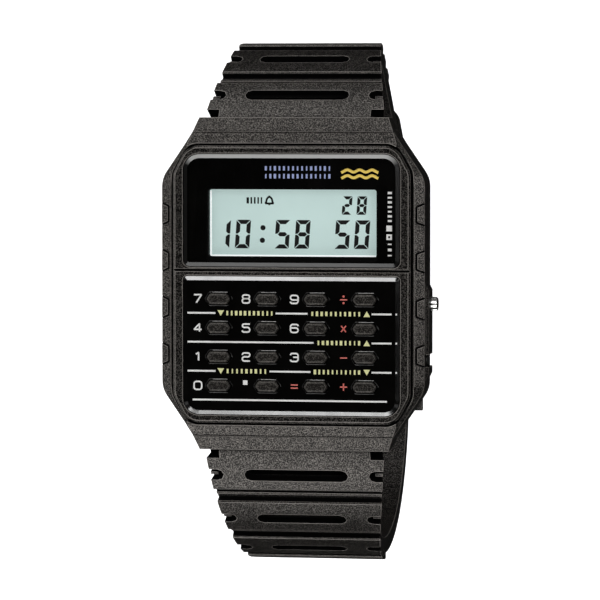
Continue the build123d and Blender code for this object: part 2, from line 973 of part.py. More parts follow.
buttons = (
    dict(name="mode_button", place=mode_button_place, tip=mode_button_tip, head=mode_head_radius,
         stem=mode_stem_radius, travel=mode_travel, flutes=flute_count),
    dict(name="adjust_button", place=adjust_button_place, tip=adjust_button_tip, head=adjust_head_radius,
         stem=adjust_stem_radius, travel=adjust_travel, flutes=0),
)


def clip_span():
    end = cavity_half_width - clip_wall_gap
    return end - clip_disc_thickness, end


def head_back():
    return spring_floor + head_back_depth


def fluted_outline(button):
    """The head's outline where the finger grips it: ridges with V grooves between them."""
    points = []
    for index in range(2 * button["flutes"]):
        angle = math.pi * index / button["flutes"]
        radius = button["head"] - (index % 2) * flute_depth
        points.append((radius * math.cos(angle), radius * math.sin(angle)))
    return make_face(Polyline(*points, close=True))


def make_button(button):
    y, z = button["place"], button_level
    inner = clip_span()[0] - stem_end_length
    head = rod(button["head"], (head_back(), y, z), (button["tip"], y, z))
    head = chamfer(head.faces().sort_by(Axis.X)[-1].edges(), button_edge)
    if button["flutes"]:
        knurl = Plane(origin=(case_half_width, y, z), z_dir=(1, 0, 0)) * fluted_outline(button)
        head &= (extrude(knurl, button["tip"] - case_half_width)
                 + rod(button["head"], (0, y, z), (case_half_width, y, z)))
    body = head + rod(button["stem"], (inner, y, z), (head_back(), y, z))
    seal_span = (seal_place - seal_wire - stem_gap, seal_place + seal_wire + stem_gap)
    low, high = clip_span()
    for start, end, depth in ((*seal_span, seal_groove_depth), (low, high, clip_groove_depth)):
        body -= tube(button["stem"] + overrun, button["stem"] - depth, (start, y, z), (end, y, z))
    return body


def make_seal(button):
    """A rubber ring in the stem's groove, just clear of the groove and the bore."""
    inner = button["stem"] - seal_groove_depth
    outer = button["stem"] + stem_gap - seal_gap
    start = (seal_place - seal_wire, button["place"], button_level)
    end = (seal_place + seal_wire, button["place"], button_level)
    return tube(outer, inner + seal_gap, start, end)


def make_clip(button):
    """A split washer in the inner groove."""
    y, z = button["place"], button_level
    low, high = clip_span()
    bore = button["stem"] - clip_groove_depth + clip_fit
    disc = tube(clip_disc_radius, bore, (low + clip_fit, y, z), (high - clip_fit, y, z))
    return disc - block((low, high), (y - bore, y + bore), (z, z + clip_disc_radius + overrun))


def make_button_spring(button):
    length = head_back_depth - 2 * spring_end_gap
    radius = (button["head"] + button["stem"]) / 2
    plane = Plane(origin=(spring_floor + spring_end_gap, button["place"], button_level), z_dir=(1, 0, 0))
    return plane * coil_spring(radius, spring_wire, spring_turns, length)


def make_button_contacts():
    """Two folded leaves at the board's edge that the stems meet."""
    edge = frame_half_width - bay_depth
    level = board_floor + board_thickness
    leaves = []
    for button in buttons:
        end = clip_span()[0] - stem_end_length - button["travel"] - contact_gap
        edge_x = min(edge, end)
        y_span = (button["place"] - contact_leaf_width / 2, button["place"] + contact_leaf_width / 2)
        foot = block((edge_x - contact_foot, edge_x), y_span, (level, level + contact_leaf_thickness))
        leaf = block((edge_x - contact_leaf_thickness, edge_x), y_span, (level, level + contact_leaf_height))
        leaves.append(foot + leaf)
    return Compound(leaves)


# Strap paths. Distances u run outwards from the case, and headings are degrees below the horizontal.

def walk(legs, distance):
    """Where the path is after a distance, with its heading: (u, z, heading)."""
    u, z, heading = legs["start"]
    for radius, amount in legs["legs"]:
        length = radius * math.radians(amount) if radius else amount
        step = min(distance, length)
        angle = math.radians(heading)
        if radius:
            turned = angle + step / radius
            u += radius * (math.sin(turned) - math.sin(angle))
            z += radius * (math.cos(turned) - math.cos(angle))
            heading = math.degrees(turned)
        else:
            u += step * math.cos(angle)
            z -= step * math.sin(angle)
        distance -= step
        if distance <= 0:
            break
    return u, z, heading


def path_length(legs):
    return sum(radius * math.radians(amount) if radius else amount for radius, amount in legs["legs"])


def below(legs, distance, depth):
    """The point that lies a depth under the path's outer face."""
    u, z, heading = walk(legs, distance)
    angle = math.radians(heading)
    return u - depth * math.sin(angle), z - depth * math.cos(angle)


def bent_line(legs, start, end, depth):
    """Arcs and lines along the path between two distances, at one depth."""
    edges, done = [], 0
    low, high = min(start, end), max(start, end)
    for radius, amount in legs["legs"]:
        length = radius * math.radians(amount) if radius else amount
        first, last = max(low, done), min(high, done + length)
        if last - first > shortest_edge:
            a, b = below(legs, first, depth), below(legs, last, depth)
            middle = below(legs, (first + last) / 2, depth)
            edges.append(ThreePointArc(a, middle, b) if radius else Line(a, b))
        done += length
    return edges


def closing_leg(start, heading, legs, level):
    """The last bend, which brings the path level at a given height."""
    path = dict(start=(*start, heading), legs=legs)
    _, z, arrived = walk(path, path_length(path))
    turn = math.degrees(math.pi) - arrived
    return (z - level) / (1 + math.cos(math.radians(arrived))), turn


strap_start = (case_half_length, strap_start_level)
band_thickness = strap_thickness - plate_relief
outer_level = strap_floor - plate_relief
inner_level = outer_level + band_thickness + layer_gap

top_run = top_legs + ((0, top_straight),)
top_close = closing_leg(strap_start, top_heading, top_run, inner_level)
top_bend = dict(start=(*strap_start, top_heading), legs=top_run + (top_close,))
bottom_close = closing_leg(strap_start, bottom_heading, bottom_legs, outer_level)
bottom_bend = dict(start=(*strap_start, bottom_heading), legs=bottom_legs + (bottom_close,))
top_level_start = walk(top_bend, path_length(top_bend))[0]
bottom_level_start = walk(bottom_bend, path_length(bottom_bend))[0]
top_flat = top_level_start - buckle_place
bottom_flat = bottom_level_start + top_level_start
tail_close = (top_close[0] + band_thickness + layer_gap, top_close[1])
top_path = dict(start=top_bend["start"], legs=top_bend["legs"] + ((0, top_flat),))
bottom_path = dict(start=bottom_bend["start"],
                   legs=bottom_bend["legs"] + ((0, bottom_flat), tail_close, (0, tail_straight)))
buckle_level = strap_floor + band_thickness + layer_gap + buckle_boss_radius


def plate_starts():
    starts = [0]
    for _ in range(plate_count - 1):
        previous = first_plate if len(starts) == 1 else starts[-1] + plate_length
        starts.append(previous + plate_recess)
    return starts


def plate_end(index):
    return first_plate if index == 0 else plate_starts()[index] + plate_length


def slot_place(index):
    if index == 0:
        return slot_first_place
    return plate_starts()[index] + plate_length * slot_place_share


def outer_stations():
    """The outer face as (distance, depth) corners: plates, recesses with a rib, then the plain band."""
    stations = []
    for index, start in enumerate(plate_starts()):
        end = plate_end(index)
        if index:
            stations += [(start, plate_edge), (start + plate_edge, 0)]
        else:
            stations += [(0, 0)]
        stations += [(end - plate_edge, 0), (end, plate_edge), (end, plate_relief)]
        if index < plate_count - 1:
            middle = end + plate_recess / 2
            rib_low, rib_high = middle - recess_rib / 2, middle + recess_rib / 2
            rise = plate_relief - recess_rib_rise
            stations += [(rib_low, plate_relief), (rib_low, rise), (rib_high, rise), (rib_high, plate_relief)]
            stations += [(end + plate_recess, plate_relief)]
    return stations


def strap_profile(path, end_distance):
    """The strap from the side, from the spring bar to the end of the path."""
    edges = []
    stations = outer_stations() + [(end_distance, plate_relief)]
    for (s0, d0), (s1, d1) in zip(stations, stations[1:]):
        if d0 == d1:
            edges += bent_line(path, s0, s1, d0)
        else:
            edges.append(Line(below(path, s0, d0), below(path, s1, d1)))
    edges.append(Line(below(path, end_distance, plate_relief), below(path, end_distance, strap_thickness)))
    edges += bent_line(path, strap_neck, end_distance, strap_thickness)
    boss_low = (bar_place, bar_level - strap_boss_radius)
    boss_high = (bar_place, bar_level + strap_boss_radius)
    shoulder = (bar_place + strap_shoulder, strap_start_level)
    edges.append(Line(below(path, strap_neck, strap_thickness), boss_low))
    edges.append(Line(boss_low, boss_high))
    edges.append(Line(boss_high, shoulder))
    edges.append(Line(shoulder, strap_start))
    face = make_face(edges)
    return face + Pos(bar_place, bar_level) * Circle(strap_boss_radius)


def width_limit():
    """The strap from the front: it narrows from the lugs in a gentle curve, then keeps its width."""
    low = strap_floor - overrun * 2
    reach = strap_start_level + overrun
    growth = (strap_half_width - strap_mid_half_width) / (strap_start_level - strap_mid_level)
    top = (strap_half_width + growth * overrun, reach)
    middle = (strap_mid_half_width, strap_mid_level)
    slim = (strap_slim_half_width, strap_slim_level)
    edges = [ThreePointArc(top, middle, slim), Line(slim, (strap_slim_half_width, low))]
    left = [mirror(e, Plane.YZ) for e in edges]
    edges += left + [Line(top, (-top[0], reach))]
    edges += [Line((strap_slim_half_width, low), (-strap_slim_half_width, low))]
    face = make_face(edges)
    return extrude(Plane.XZ * face, far_reach, both=True)


def strap_plane(path, distance, depth):
    """A plane on the strap: X across it, Y on towards its tip and Z out of its outer face."""
    u, z = below(path, distance, depth)
    angle = math.radians(walk(path, distance)[2])
    return Plane(origin=(0, u, z), x_dir=(1, 0, 0), z_dir=(0, math.sin(angle), math.cos(angle)))


def half_width_at(path, distance):
    """The strap's half width there, on the circle through the three points of the width limit."""
    z = walk(path, distance)[1]
    z_span = (z - plate_edge, z + plate_edge)
    probe = width_limit() & block((0, strap_half_width * 2), (-overrun, overrun), z_span)
    return probe.bounding_box().max.X


def strap_cuts(path):
    """Stepped blind slots, edge notches with a bar inside, and the two corner notches at the hood."""
    cuts = []
    for index in range(plate_count):
        place = slot_place(index)
        plane = strap_plane(path, place, 0)
        length = slot_length - slot_step * index
        cuts.append(extrude(plane * stadium(length, slot_width), -slot_depth))
        inner = stadium(length - 2 * slot_inner_margin, slot_width - 2 * slot_inner_margin)
        cuts.append(extrude(plane * inner, -slot_inner_depth))
        edge = half_width_at(path, place)
        for side in (1, -1):
            notch = extrude(plane * Pos(side * edge, 0) * stadium(2 * edge_notch_length, edge_notch_width),
                            -edge_notch_depth)
            bar = extrude(plane.offset(-edge_notch_depth) * Pos(side * (edge - edge_bar_length / 2), 0)
                          * Rectangle(edge_bar_length, edge_bar_width), edge_notch_depth - edge_bar_drop)
            cuts.append(notch - bar)
    plane = strap_plane(path, corner_notch_length / 2, 0)
    for side in (1, -1):
        box = Rectangle(2 * corner_notch_width, corner_notch_length)
        cut = extrude(plane * Pos(side * strap_half_width, 0) * box, corner_notch_depth, both=True)
        cuts.append(cut)
    return cuts


def end_bar_hole(radius, u, z):
    return rod(radius, (-strap_half_width - overrun, u, z), (strap_half_width + overrun, u, z))


def loop_half_width():
    return strap_slim_half_width + keeper_side_gap + keeper_side_wall


def fixed_loop():
    """The loop moulded on the short half, next to the buckle, which holds the long half's tail down."""
    outer, inner = loop_half_width(), loop_half_width() - keeper_side_wall
    y_span = (fixed_loop_place - fixed_loop_width / 2, fixed_loop_place + fixed_loop_width / 2)
    low, high = strap_floor - strap_bar_gap, inner_level + plate_relief
    body = block((-outer, outer), y_span, (low - keeper_wall, inner_level + strap_thickness))
    body = fillet(body.edges().filter_by(Axis.Y), keeper_edge)
    return body - block((-inner, inner), (y_span[0] - overrun, y_span[1] + overrun), (low, high))


def make_top_strap():
    """The half at 12 o'clock, which ends in the buckle's bar."""
    end = path_length(top_path)
    profile = strap_profile(top_path, end) + Pos(buckle_place, buckle_level) * Circle(buckle_boss_radius)
    body = side_extrusion(profile, strap_half_width + overrun) & width_limit()
    body -= strap_cuts(top_path)
    body -= end_bar_hole(bar_radius + bar_gap, bar_place, bar_level)
    body -= end_bar_hole(buckle_bar_radius + buckle_bar_gap, buckle_place, buckle_level)
    body += fixed_loop()
    gap = tongue_slot_half_width
    reach = buckle_place + buckle_boss_radius + tongue_side_gap
    return body - block((-gap, gap), (buckle_place - buckle_hub_radius - overrun, reach),
                        (strap_floor, buckle_level + strap_thickness))


def tongue_hole_places():
    """Distances along the long half of its tongue holes, counted from the one in use."""
    middle = buckle_place - tongue_hole_length / 2 - tongue_hole_setback
    in_use = path_length(bottom_bend) + bottom_level_start + middle
    return [in_use + index * tongue_hole_pitch for index in range(-tongue_holes_before, tongue_holes_after + 1)]


def make_bottom_strap():
    """The long half at 6 o'clock: it passes through the buckle and lies outside the other half."""
    end = path_length(bottom_path)
    profile = strap_profile(bottom_path, end)
    body = side_extrusion(profile, strap_half_width + overrun) & width_limit()
    body -= strap_cuts(bottom_path)
    body -= end_bar_hole(bar_radius + bar_gap, bar_place, bar_level)
    hole = chamfer(Rectangle(tongue_hole_width, tongue_hole_length).vertices(), tongue_hole_corner)
    for place in tongue_hole_places():
        body -= extrude(strap_plane(bottom_path, place, 0) * hole, strap_thickness + overrun, both=True)
    corner = strap_plane(bottom_path, end - tail_end_radius, 0)
    square = Pos(0, tail_end_radius) * Rectangle(2 * strap_half_width, 2 * tail_end_radius)
    round_end = Rectangle(2 * (strap_slim_half_width - tail_end_radius), 2 * tail_end_radius)
    corner_place = strap_slim_half_width - tail_end_radius
    round_end += [Pos(side * corner_place, 0) * Circle(tail_end_radius) for side in (1, -1)]
    body -= extrude(corner * (square - round_end), strap_thickness + overrun, both=True)
    return mirror(body, Plane.XZ)


def make_spring_bar(side):
    """A tube with a thin sprung tip at each end, which shows in the lug's hole."""
    y, z = side * bar_place, bar_level
    shoulder = pocket_half_width - bar_shoulder_gap
    tip = shoulder + bar_tip_length
    body = rod(bar_radius, (-shoulder, y, z), (shoulder, y, z))
    return body + rod(bar_tip_radius, (-tip, y, z), (tip, y, z))


# Buckle and keeper

def front_bar_middle():
    y = buckle_place - buckle_length
    return y, strap_floor - strap_bar_gap - front_bar_height / 2


def make_buckle_frame():
    """Two arms from the hinge bar to the front bar, which has a notch for the tongue."""
    y, z = front_bar_middle()
    hub = Pos(buckle_place, buckle_level) * Circle(buckle_hub_radius)
    front = Pos(y, z) * RectangleRounded(front_bar_width, front_bar_height, front_bar_radius)
    inner = strap_slim_half_width + buckle_side_gap
    outer = inner + buckle_arm
    arm = side_extrusion(make_hull(hub.edges() + front.edges()), outer)
    frame = arm - block((-inner, inner), (y - front_bar_width, buckle_place + buckle_hub_radius + overrun),
                        (z - front_bar_height, buckle_level + buckle_hub_radius + overrun))
    frame += side_extrusion(front, outer)
    top = tongue_line_level() + tongue_thickness / 2 + tongue_notch_gap
    half = tongue_notch_width / 2
    frame -= block((-half, half), (y - front_bar_width, y + front_bar_width), (z - front_bar_height, top))
    return frame - end_bar_hole(buckle_bar_radius + buckle_bar_gap / 2, buckle_place, buckle_level)


def tongue_line_level():
    """The middle of the tongue where it lies in the front bar's notch."""
    return front_bar_middle()[1] - front_bar_height / 2 + tongue_thickness / 2 + tongue_notch_gap


def make_tongue():
    """A bent steel strip on a barrel: down through the strap, then along to the front bar."""
    level = tongue_line_level()
    start = (buckle_place - buckle_bar_radius, buckle_level - tongue_barrel_radius + tongue_thickness / 2)
    bend = (buckle_place - tongue_bend_place, level)
    tip = (front_bar_middle()[0] - tongue_tip_overhang, level)
    leave = (start[0] - tongue_thickness, start[1])
    line = FilletPolyline(start, leave, bend, tip, radius=tongue_bend_radius)
    strip = side_extrusion(trace(line, tongue_thickness), tongue_width / 2)
    half = tongue_slot_half_width - tongue_side_gap
    barrel = rod(tongue_barrel_radius, (-half, buckle_place, buckle_level), (half, buckle_place, buckle_level))
    bore = end_bar_hole(buckle_bar_radius + buckle_bar_gap, buckle_place, buckle_level)
    return strip + barrel - bore


def make_buckle_bar():
    reach = strap_slim_half_width + buckle_side_gap + buckle_arm - bar_inset
    return rod(buckle_bar_radius, (-reach, buckle_place, buckle_level), (reach, buckle_place, buckle_level))


def make_keeper():
    """A loop round both layers of the strap."""
    outer_half = loop_half_width()
    inner_half = outer_half - keeper_side_wall
    low, high = strap_floor - strap_bar_gap, inner_level + strap_thickness + keeper_inner_gap
    y_span = (keeper_place - keeper_width / 2, keeper_place + keeper_width / 2)
    body = block((-outer_half, outer_half), y_span, (low - keeper_wall, high + keeper_inner_wall))
    body = fillet(body.edges().filter_by(Axis.Y), keeper_edge)
    return body - block((-inner_half, inner_half), (y_span[0] - overrun, y_span[1] + overrun), (low, high))


# Write every piece

save("case", make_case())
save("display_lens", make_lens())
save("display_mask", make_mask())
save("keypad_panel", make_keypad_panel())
for row, names in enumerate(key_names):
    for column, name in enumerate(names):
        save(f"key_{name}", make_key(row, column))
save("key_mat", make_key_mat())
save("lcd_glass", make_glass())
save("lcd_reflector", make_reflector())
save("lcd_contact_strips", make_contact_strips())
save("circuit_board", make_board())
save("processor_chip", make_chip())
save("quartz_crystal", make_crystal())
save("booster_coil", make_coil())
save("board_components", make_small_parts())
save("module_frame", make_module_frame())
save("battery", make_battery())
save("battery_clip", make_battery_clip())
save("battery_insulator", make_battery_film())
save("piezo_disc", make_piezo())
save("piezo_spring", make_piezo_spring())
save("case_back", make_case_back())
save("case_back_gasket", make_gasket())
save("case_back_screws", make_screws())
for button in buttons:
    save(button["name"], make_button(button))
    save(button["name"] + "_seal", make_seal(button))
    save(button["name"] + "_clip", make_clip(button))
    save(button["name"] + "_spring", make_button_spring(button))
save("button_contacts", make_button_contacts())
save("strap_12", make_top_strap())
save("strap_6", make_bottom_strap())
save("spring_bar_12", make_spring_bar(1))
save("spring_bar_6", make_spring_bar(-1))
save("buckle_frame", make_buckle_frame())
save("buckle_tongue", make_tongue())
save("buckle_bar", make_buckle_bar())
save("keeper_loop", make_keeper())
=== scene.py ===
"""Dresses a digital wristwatch: resin, gloss panels, keys, display, print and metal."""

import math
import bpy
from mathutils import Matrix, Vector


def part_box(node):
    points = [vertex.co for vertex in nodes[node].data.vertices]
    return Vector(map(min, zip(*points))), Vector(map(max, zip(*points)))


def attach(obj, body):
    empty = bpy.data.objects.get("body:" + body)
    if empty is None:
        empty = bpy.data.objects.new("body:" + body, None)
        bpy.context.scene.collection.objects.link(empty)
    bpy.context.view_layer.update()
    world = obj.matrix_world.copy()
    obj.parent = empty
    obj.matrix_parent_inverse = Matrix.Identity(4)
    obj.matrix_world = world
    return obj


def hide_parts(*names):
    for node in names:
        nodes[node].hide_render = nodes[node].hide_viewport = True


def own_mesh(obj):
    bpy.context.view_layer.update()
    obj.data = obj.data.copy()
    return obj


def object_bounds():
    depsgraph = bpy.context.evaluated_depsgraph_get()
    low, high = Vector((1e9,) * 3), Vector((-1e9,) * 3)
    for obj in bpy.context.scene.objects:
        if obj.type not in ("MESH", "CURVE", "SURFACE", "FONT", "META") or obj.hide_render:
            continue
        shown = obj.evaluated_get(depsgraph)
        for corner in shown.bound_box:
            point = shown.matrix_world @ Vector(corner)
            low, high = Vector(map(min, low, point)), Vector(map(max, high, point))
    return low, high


bl_info = {
    "name": "Calculator Watch",
    "version": (1, 0, 0),
    "blender": (4, 5, 0),
    "location": "View3D > Sidebar > Watch",
    "description": "Finishes, print and display of a digital wristwatch with a small keypad",
    "category": "Object",
}

import bmesh
import bpy
from bpy.props import FloatProperty, FloatVectorProperty, PointerProperty
from mathutils import Matrix, Vector

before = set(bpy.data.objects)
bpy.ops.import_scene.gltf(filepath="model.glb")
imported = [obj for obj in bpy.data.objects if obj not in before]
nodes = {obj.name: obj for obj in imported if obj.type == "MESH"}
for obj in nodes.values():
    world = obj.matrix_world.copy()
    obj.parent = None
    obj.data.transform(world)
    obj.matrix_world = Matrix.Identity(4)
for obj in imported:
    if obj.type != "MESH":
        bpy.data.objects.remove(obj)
cad_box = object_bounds()

MM = 0.001

# Places and sizes on the watch, in millimetres, seen from the front

PANEL_LEVEL = 7.7
MASK_LEVEL = 6.9
GLASS_LEVEL = 5.45

# The raised line across each sloping end of the case
FOLD_HALF_LENGTH = 13.05
FOLD_PLACE = 19.75
FOLD_LEVEL = 6.5

# The black bead round each grip block, painted shade in its groove: the blocks' places, and one
# line about its block
GRIP_PLACES = (9.1, 3.04, -3.04, -9.1)
GRIP_OUTLINE = (
    (17.09, 1.356, 6.2), (16.18, 0.991, 6.75), (16.18, -0.991, 6.75), (17.09, -1.356, 6.2))
GRIP_RADIUS = 0.16
GRIP_CORNER = 0.1

# A key, the bead round its hole and the pale bead over it, which is a painted highlight
KEY_HALF_WIDTH = 1.575
KEY_HALF_HEIGHT = 0.68
KEY_HALF_FLAT = 1.134
BEAD_GAP = 0.17
BEAD_CORNER = 0.2
HIGHLIGHT_ENDS = (-0.8, 1.15)

# Shares of the rim radius
BEAD_RISE = 0.2
HIGHLIGHT_RISE = 0.7
HIGHLIGHT_RADIUS = 0.6
FOLD_RADIUS = 1.3

# Print beside the keys
LABELS = (
    ("7", "8", "9", "divide"),
    ("4", "5", "6", "times"),
    ("1", "2", "3", "minus"),
    ("0", "point", "equals", "plus"),
)
LABEL_COLUMNS = (-12.21, -5.87, 0.45, 6.87)
LABEL_ROWS = (-1.85, -5.61, -9.36, -13.12)
SIGNS = ("divide", "times", "minus", "equals", "plus")
SIGN_SIZE = 1.08
TIMES_WIDTH = 0.95
DOT_OFFSET = 0.42
DOT_RADIUS = 0.14
ROUND_CORNER = 0.3
SHARP_CORNER = 0.03
POINT_MARK = (-5.98, -12.68, 0.58, 0.58)

# Each rule's height and the ends of its parts
RULES = (
    (-3.69, ((-13.57, -9.88), (-2.00, 2.18), (10.52, 13.11))),
    (-7.44, ((-13.57, 2.96), (10.52, 13.11))),
    (-11.21, ((-13.57, -9.88), (-2.79, 2.57), (10.52, 13.11))),
    (-14.95, ((-12.91, 12.53),)),
)
RULE_ENDS = (-3.69, -7.44, -11.21)
RULE_END_X = 13.72
RULE_END_WIDTH = 0.2

# Each row of marks: its height and its ends
KEYPAD_MARKS = (
    (-3.69, -8.53, -2.30),
    (-3.69, 2.60, 9.11),
    (-7.44, 3.40, 9.10),
    (-11.21, -8.49, -3.15),
    (-11.21, 2.94, 9.10),
)
MARK_INSET = 0.2
MARK_WIDTH = 0.34
MARK_HEIGHT = 0.62

# Each arrow's place, and 1 where it points up or -1 where it points down
ARROWS = (
    (-9.19, -3.69, -1), (-9.19, -11.21, -1),
    (9.89, -3.69, 1), (9.89, -7.44, 1), (9.89, -11.21, -1))
ARROW_HALF_WIDTH = 0.43
ARROW_BASE = 0.36
ARROW_TIP = 0.38

# Print round the display
BLUE_ROWS = (15.03, 14.02)
BLUE_ENDS = (-3.4, 4.9)
WHITE_COLUMN = 12.76
WHITE_ENDS = ((3.85, 5.3), (8.3, 11.9))
WHITE_MARK_HEIGHT = 0.56
FULL_SQUARE = (12.68, 7.34, 0.74, 0.74)
OPEN_SQUARE = (12.68, 6.22, 0.36, 0.13)
WAVE_ROWS = (14.72, 13.98)
WAVE_START = 6.45
WAVE_STEP = 0.8
WAVE_RISE = 0.22
WAVE_POINTS = 7
WAVE_WIDTH = 0.36
WAVE_CORNER = 0.5

# The display: the middle, width and height of each row of figures, and the symbols
TIME_ROW = (6.47, 1.9, 3.7)
DATE_ROW = (10.23, 1.25, 2.38)
TIME_FIGURES = (
    ("1", -9.3), ("0", -6.66), ("5", -1.47), ("8", 1.16), ("5", 6.39), ("0", 8.95))
DATE_FIGURES = (("2", 7.0), ("8", 8.92))
DATE_SEGMENT_WIDTH = 0.4
DATE_GAP_SHARE = 0.8
COLON = ((-4.02, 7.3), (-4.1, 5.67))
COLON_RADIUS = 0.34
ALARM_ROW = 10.84
ALARM_STROKES = (
    (-6.02, 0.32, 0.8), (-5.55, 0.22, 0.84), (-5.1, 0.22, 0.84), (-4.65, 0.2, 0.84),
    (-4.22, 0.18, 0.84))
SEGMENT_ROOT = 0.005
# Pale strips along the left and bottom edges of the display glass: a painted highlight
EDGE_HIGHLIGHTS = ((-10.86, 7.85, 0.2, 8.5), (0, 3.66, 21.52, 0.24))
BELL = (
    ((-3.72, 10.45), (-3.6, 10.62), (-3.52, 11.0), (-3.36, 11.22), (-3.18, 11.3), (-3.0, 11.22),
     (-2.84, 11.0), (-2.76, 10.62), (-2.64, 10.45)),
    ((-3.18, 11.3), (-3.18, 11.46)),
    ((-3.18, 10.42), (-3.18, 10.22)),
)
BELL_STROKE = 0.25
BELL_CORNER = 0.05

# The lines of each figure in a unit square, each ending with whether it closes
FIGURES = {
    "0": (((0, 0), (1, 0), (1, 1), (0, 1), True),),
    "1": (((0.25, 0.78), (0.6, 1), (0.6, 0), False),),
    "2": (((0, 0.76), (0, 1), (1, 1), (1, 0.52), (0, 0.52), (0, 0), (1, 0), False),),
    "3": (((0, 0.78), (0, 1), (1, 1), (1, 0), (0, 0), (0, 0.22), False),
          ((1, 0.53), (0.35, 0.53), False)),
    "4": (((0.72, 0), (0.72, 1), (0, 0.28), (1, 0.28), False),),
    "5": (((1, 1), (0.06, 1), (0, 0.58), (1, 0.58), (1, 0), (0, 0), (0, 0.2), False),),
    "6": (((1, 0.8), (1, 1), (0, 1), (0, 0), (1, 0), (1, 0.57), (0, 0.57), False),),
    "7": (((0, 1), (1, 1), (0.3, 0), False),),
    "8": (((0.04, 0.54), (0.04, 1), (0.96, 1), (0.96, 0.54), True),
          ((0, 0), (1, 0), (1, 0.54), (0, 0.54), True)),
    "9": (((0, 0.2), (0, 0), (1, 0), (1, 1), (0, 1), (0, 0.43), (1, 0.43), False),),
    "divide": (((0, 0.5), (1, 0.5), False),),
    "times": (((0.1, 0.06), (0.9, 0.94), False), ((0.1, 0.94), (0.9, 0.06), False)),
    "minus": (((0, 0.5), (1, 0.5), False),),
    "equals": (((0, 0.72), (1, 0.72), False), ((0, 0.28), (1, 0.28), False)),
    "plus": (((0, 0.5), (1, 0.5), False), ((0.5, 0), (0.5, 1), False)),
}

# The lit segments of each figure on the display
LIT = {
    "0": "abcdef", "1": "bc", "2": "abged", "3": "abgcd", "4": "fgbc",
    "5": "afgcd", "6": "afgedc", "7": "abc", "8": "abcdefg", "9": "abcdfg",
}

# The stage, in metres: each light's name, place, size and the setting for its power
SOFT_BOXES = (
    ("soft_box_top", (-0.2, 0.57, 0.2), (0.5, 0.4), "top_light"),
    ("soft_box_low", (-0.2, -0.55, 0.25), (0.5, 0.42), "low_light"),
    ("soft_box_side", (-0.55, 0.03, 0.04), (0.7, 0.5), "side_light"),
    ("soft_box_fill", (0.42, 0.1, 0.44), (0.3, 0.3), "fill_light"),
    ("strip_top", (-0.09, 0.33, 0.5), (0.6, 0.07), "strip_light"),
    ("strip_low", (-0.09, -0.38, 0.48), (0.6, 0.07), "strip_light"),
)
FLOOR_SIZE = 6
FLOOR_THICKNESS = 0.002
STRENGTH_TO_WATCH = 0.01
STRENGTH_TO_EYE = 0.97
CAMERA_ROWS = (
    (0.9877, -0.0082, 0.1562, 0.07926),
    (0.0, 0.9986, 0.0523, 0.02423),
    (-0.1564, -0.0517, 0.9863, 0.50067),
    (0, 0, 0, 1),
)


# Sizes and colours that a user would change

def length(name, description, size):
    """A length that the user may change."""
    return FloatProperty(
        name=name, description=description, default=size,
        unit="LENGTH", subtype="DISTANCE", precision=6)


def colour_of(name, description, colour):
    """A colour that the user may change."""
    return FloatVectorProperty(
        name=name, description=description, default=colour,
        subtype="COLOR", size=3, min=0, max=1)


def power(name, description, watts):
    """A light's power that the user may change."""
    return FloatProperty(name=name, description=description, default=watts, unit="POWER")


class WatchPrint(bpy.types.PropertyGroup):
    """Ink on the panels"""
    ink_height: length("Ink height", "How far the ink stands above the panel", 0.015 * MM)
    figure_width: length(
        "Figure width", "Width of a figure beside a key, over its strokes", 1.2 * MM)
    figure_height: length(
        "Figure height", "Height of a figure beside a key, over its strokes", 1.24 * MM)
    figure_stroke: length("Figure stroke", "Width of a figure's line", 0.2 * MM)
    sign_stroke: length("Sign stroke", "Width of an operator sign's line", 0.16 * MM)
    rule_width: length("Rule width", "Width of the rules between the rows of keys", 0.23 * MM)
    mark_pitch: length("Mark pitch", "Distance from one small mark to the next", 0.56 * MM)
    white: colour_of("White ink", "Figures, rules and window marks", (0.9, 0.9, 0.88))
    yellow: colour_of("Yellow ink", "Arrows and marks in the rules", (0.82, 0.82, 0.42))
    gold: colour_of("Gold ink", "The emblem above the display", (0.86, 0.62, 0.12))
    salmon: colour_of("Salmon ink", "The operator signs", (0.72, 0.17, 0.14))
    blue: colour_of("Blue ink", "The two rows of marks above the display", (0.34, 0.4, 0.66))


class WatchDisplay(bpy.types.PropertyGroup):
    """Segments of the display"""
    segment_width: length("Segment width", "Width of a large figure's segment", 0.54 * MM)
    segment_gap: length("Segment gap", "Gap between two segments", 0.09 * MM)
    segment_height: length(
        "Segment height", "How far a segment stands on the glass", 0.02 * MM)
    slant: FloatProperty(
        name="Slant", description="Lean of the figures to the right",
        default=math.radians(4), unit="ROTATION", subtype="ANGLE")
    ground: colour_of("Ground", "Pale ground behind the figures", (0.6, 0.77, 0.74))


class WatchFinish(bpy.types.PropertyGroup):
    """Resin, panels and keys"""
    case_colour: colour_of(
        "Case resin", "Mean colour of the case resin", (0.046, 0.0425, 0.039))
    strap_colour: colour_of(
        "Strap resin", "Mean colour of the strap resin", (0.05, 0.0465, 0.043))
    key_colour: colour_of("Key resin", "Mean colour of the keys", (0.064, 0.059, 0.053))
    grain_size: length("Grain size", "Size of the resin's speckle", 0.075 * MM)
    grain_depth: length("Grain depth", "Height of the resin's sprayed texture", 0.015 * MM)
    edge_radius: length(
        "Edge radius", "Radius that softens the light on the resin's edges", 0.16 * MM)
    # The resin's edges are painted lighter, as worn edges and as a painted highlight
    edge_wear_and_highlight: FloatProperty(
        name="Edge wear", description="How much lighter the polished edges are",
        default=8.0, min=1, max=12)
    # How far the painted shade in the resin's crevices reaches
    crevice_reach: length(
        "Crevice reach", "Width of a gap that the light doesn't reach into", 2.5 * MM)
    rim_radius: length("Rim radius", "Radius of the bead round each key hole", 0.08 * MM)


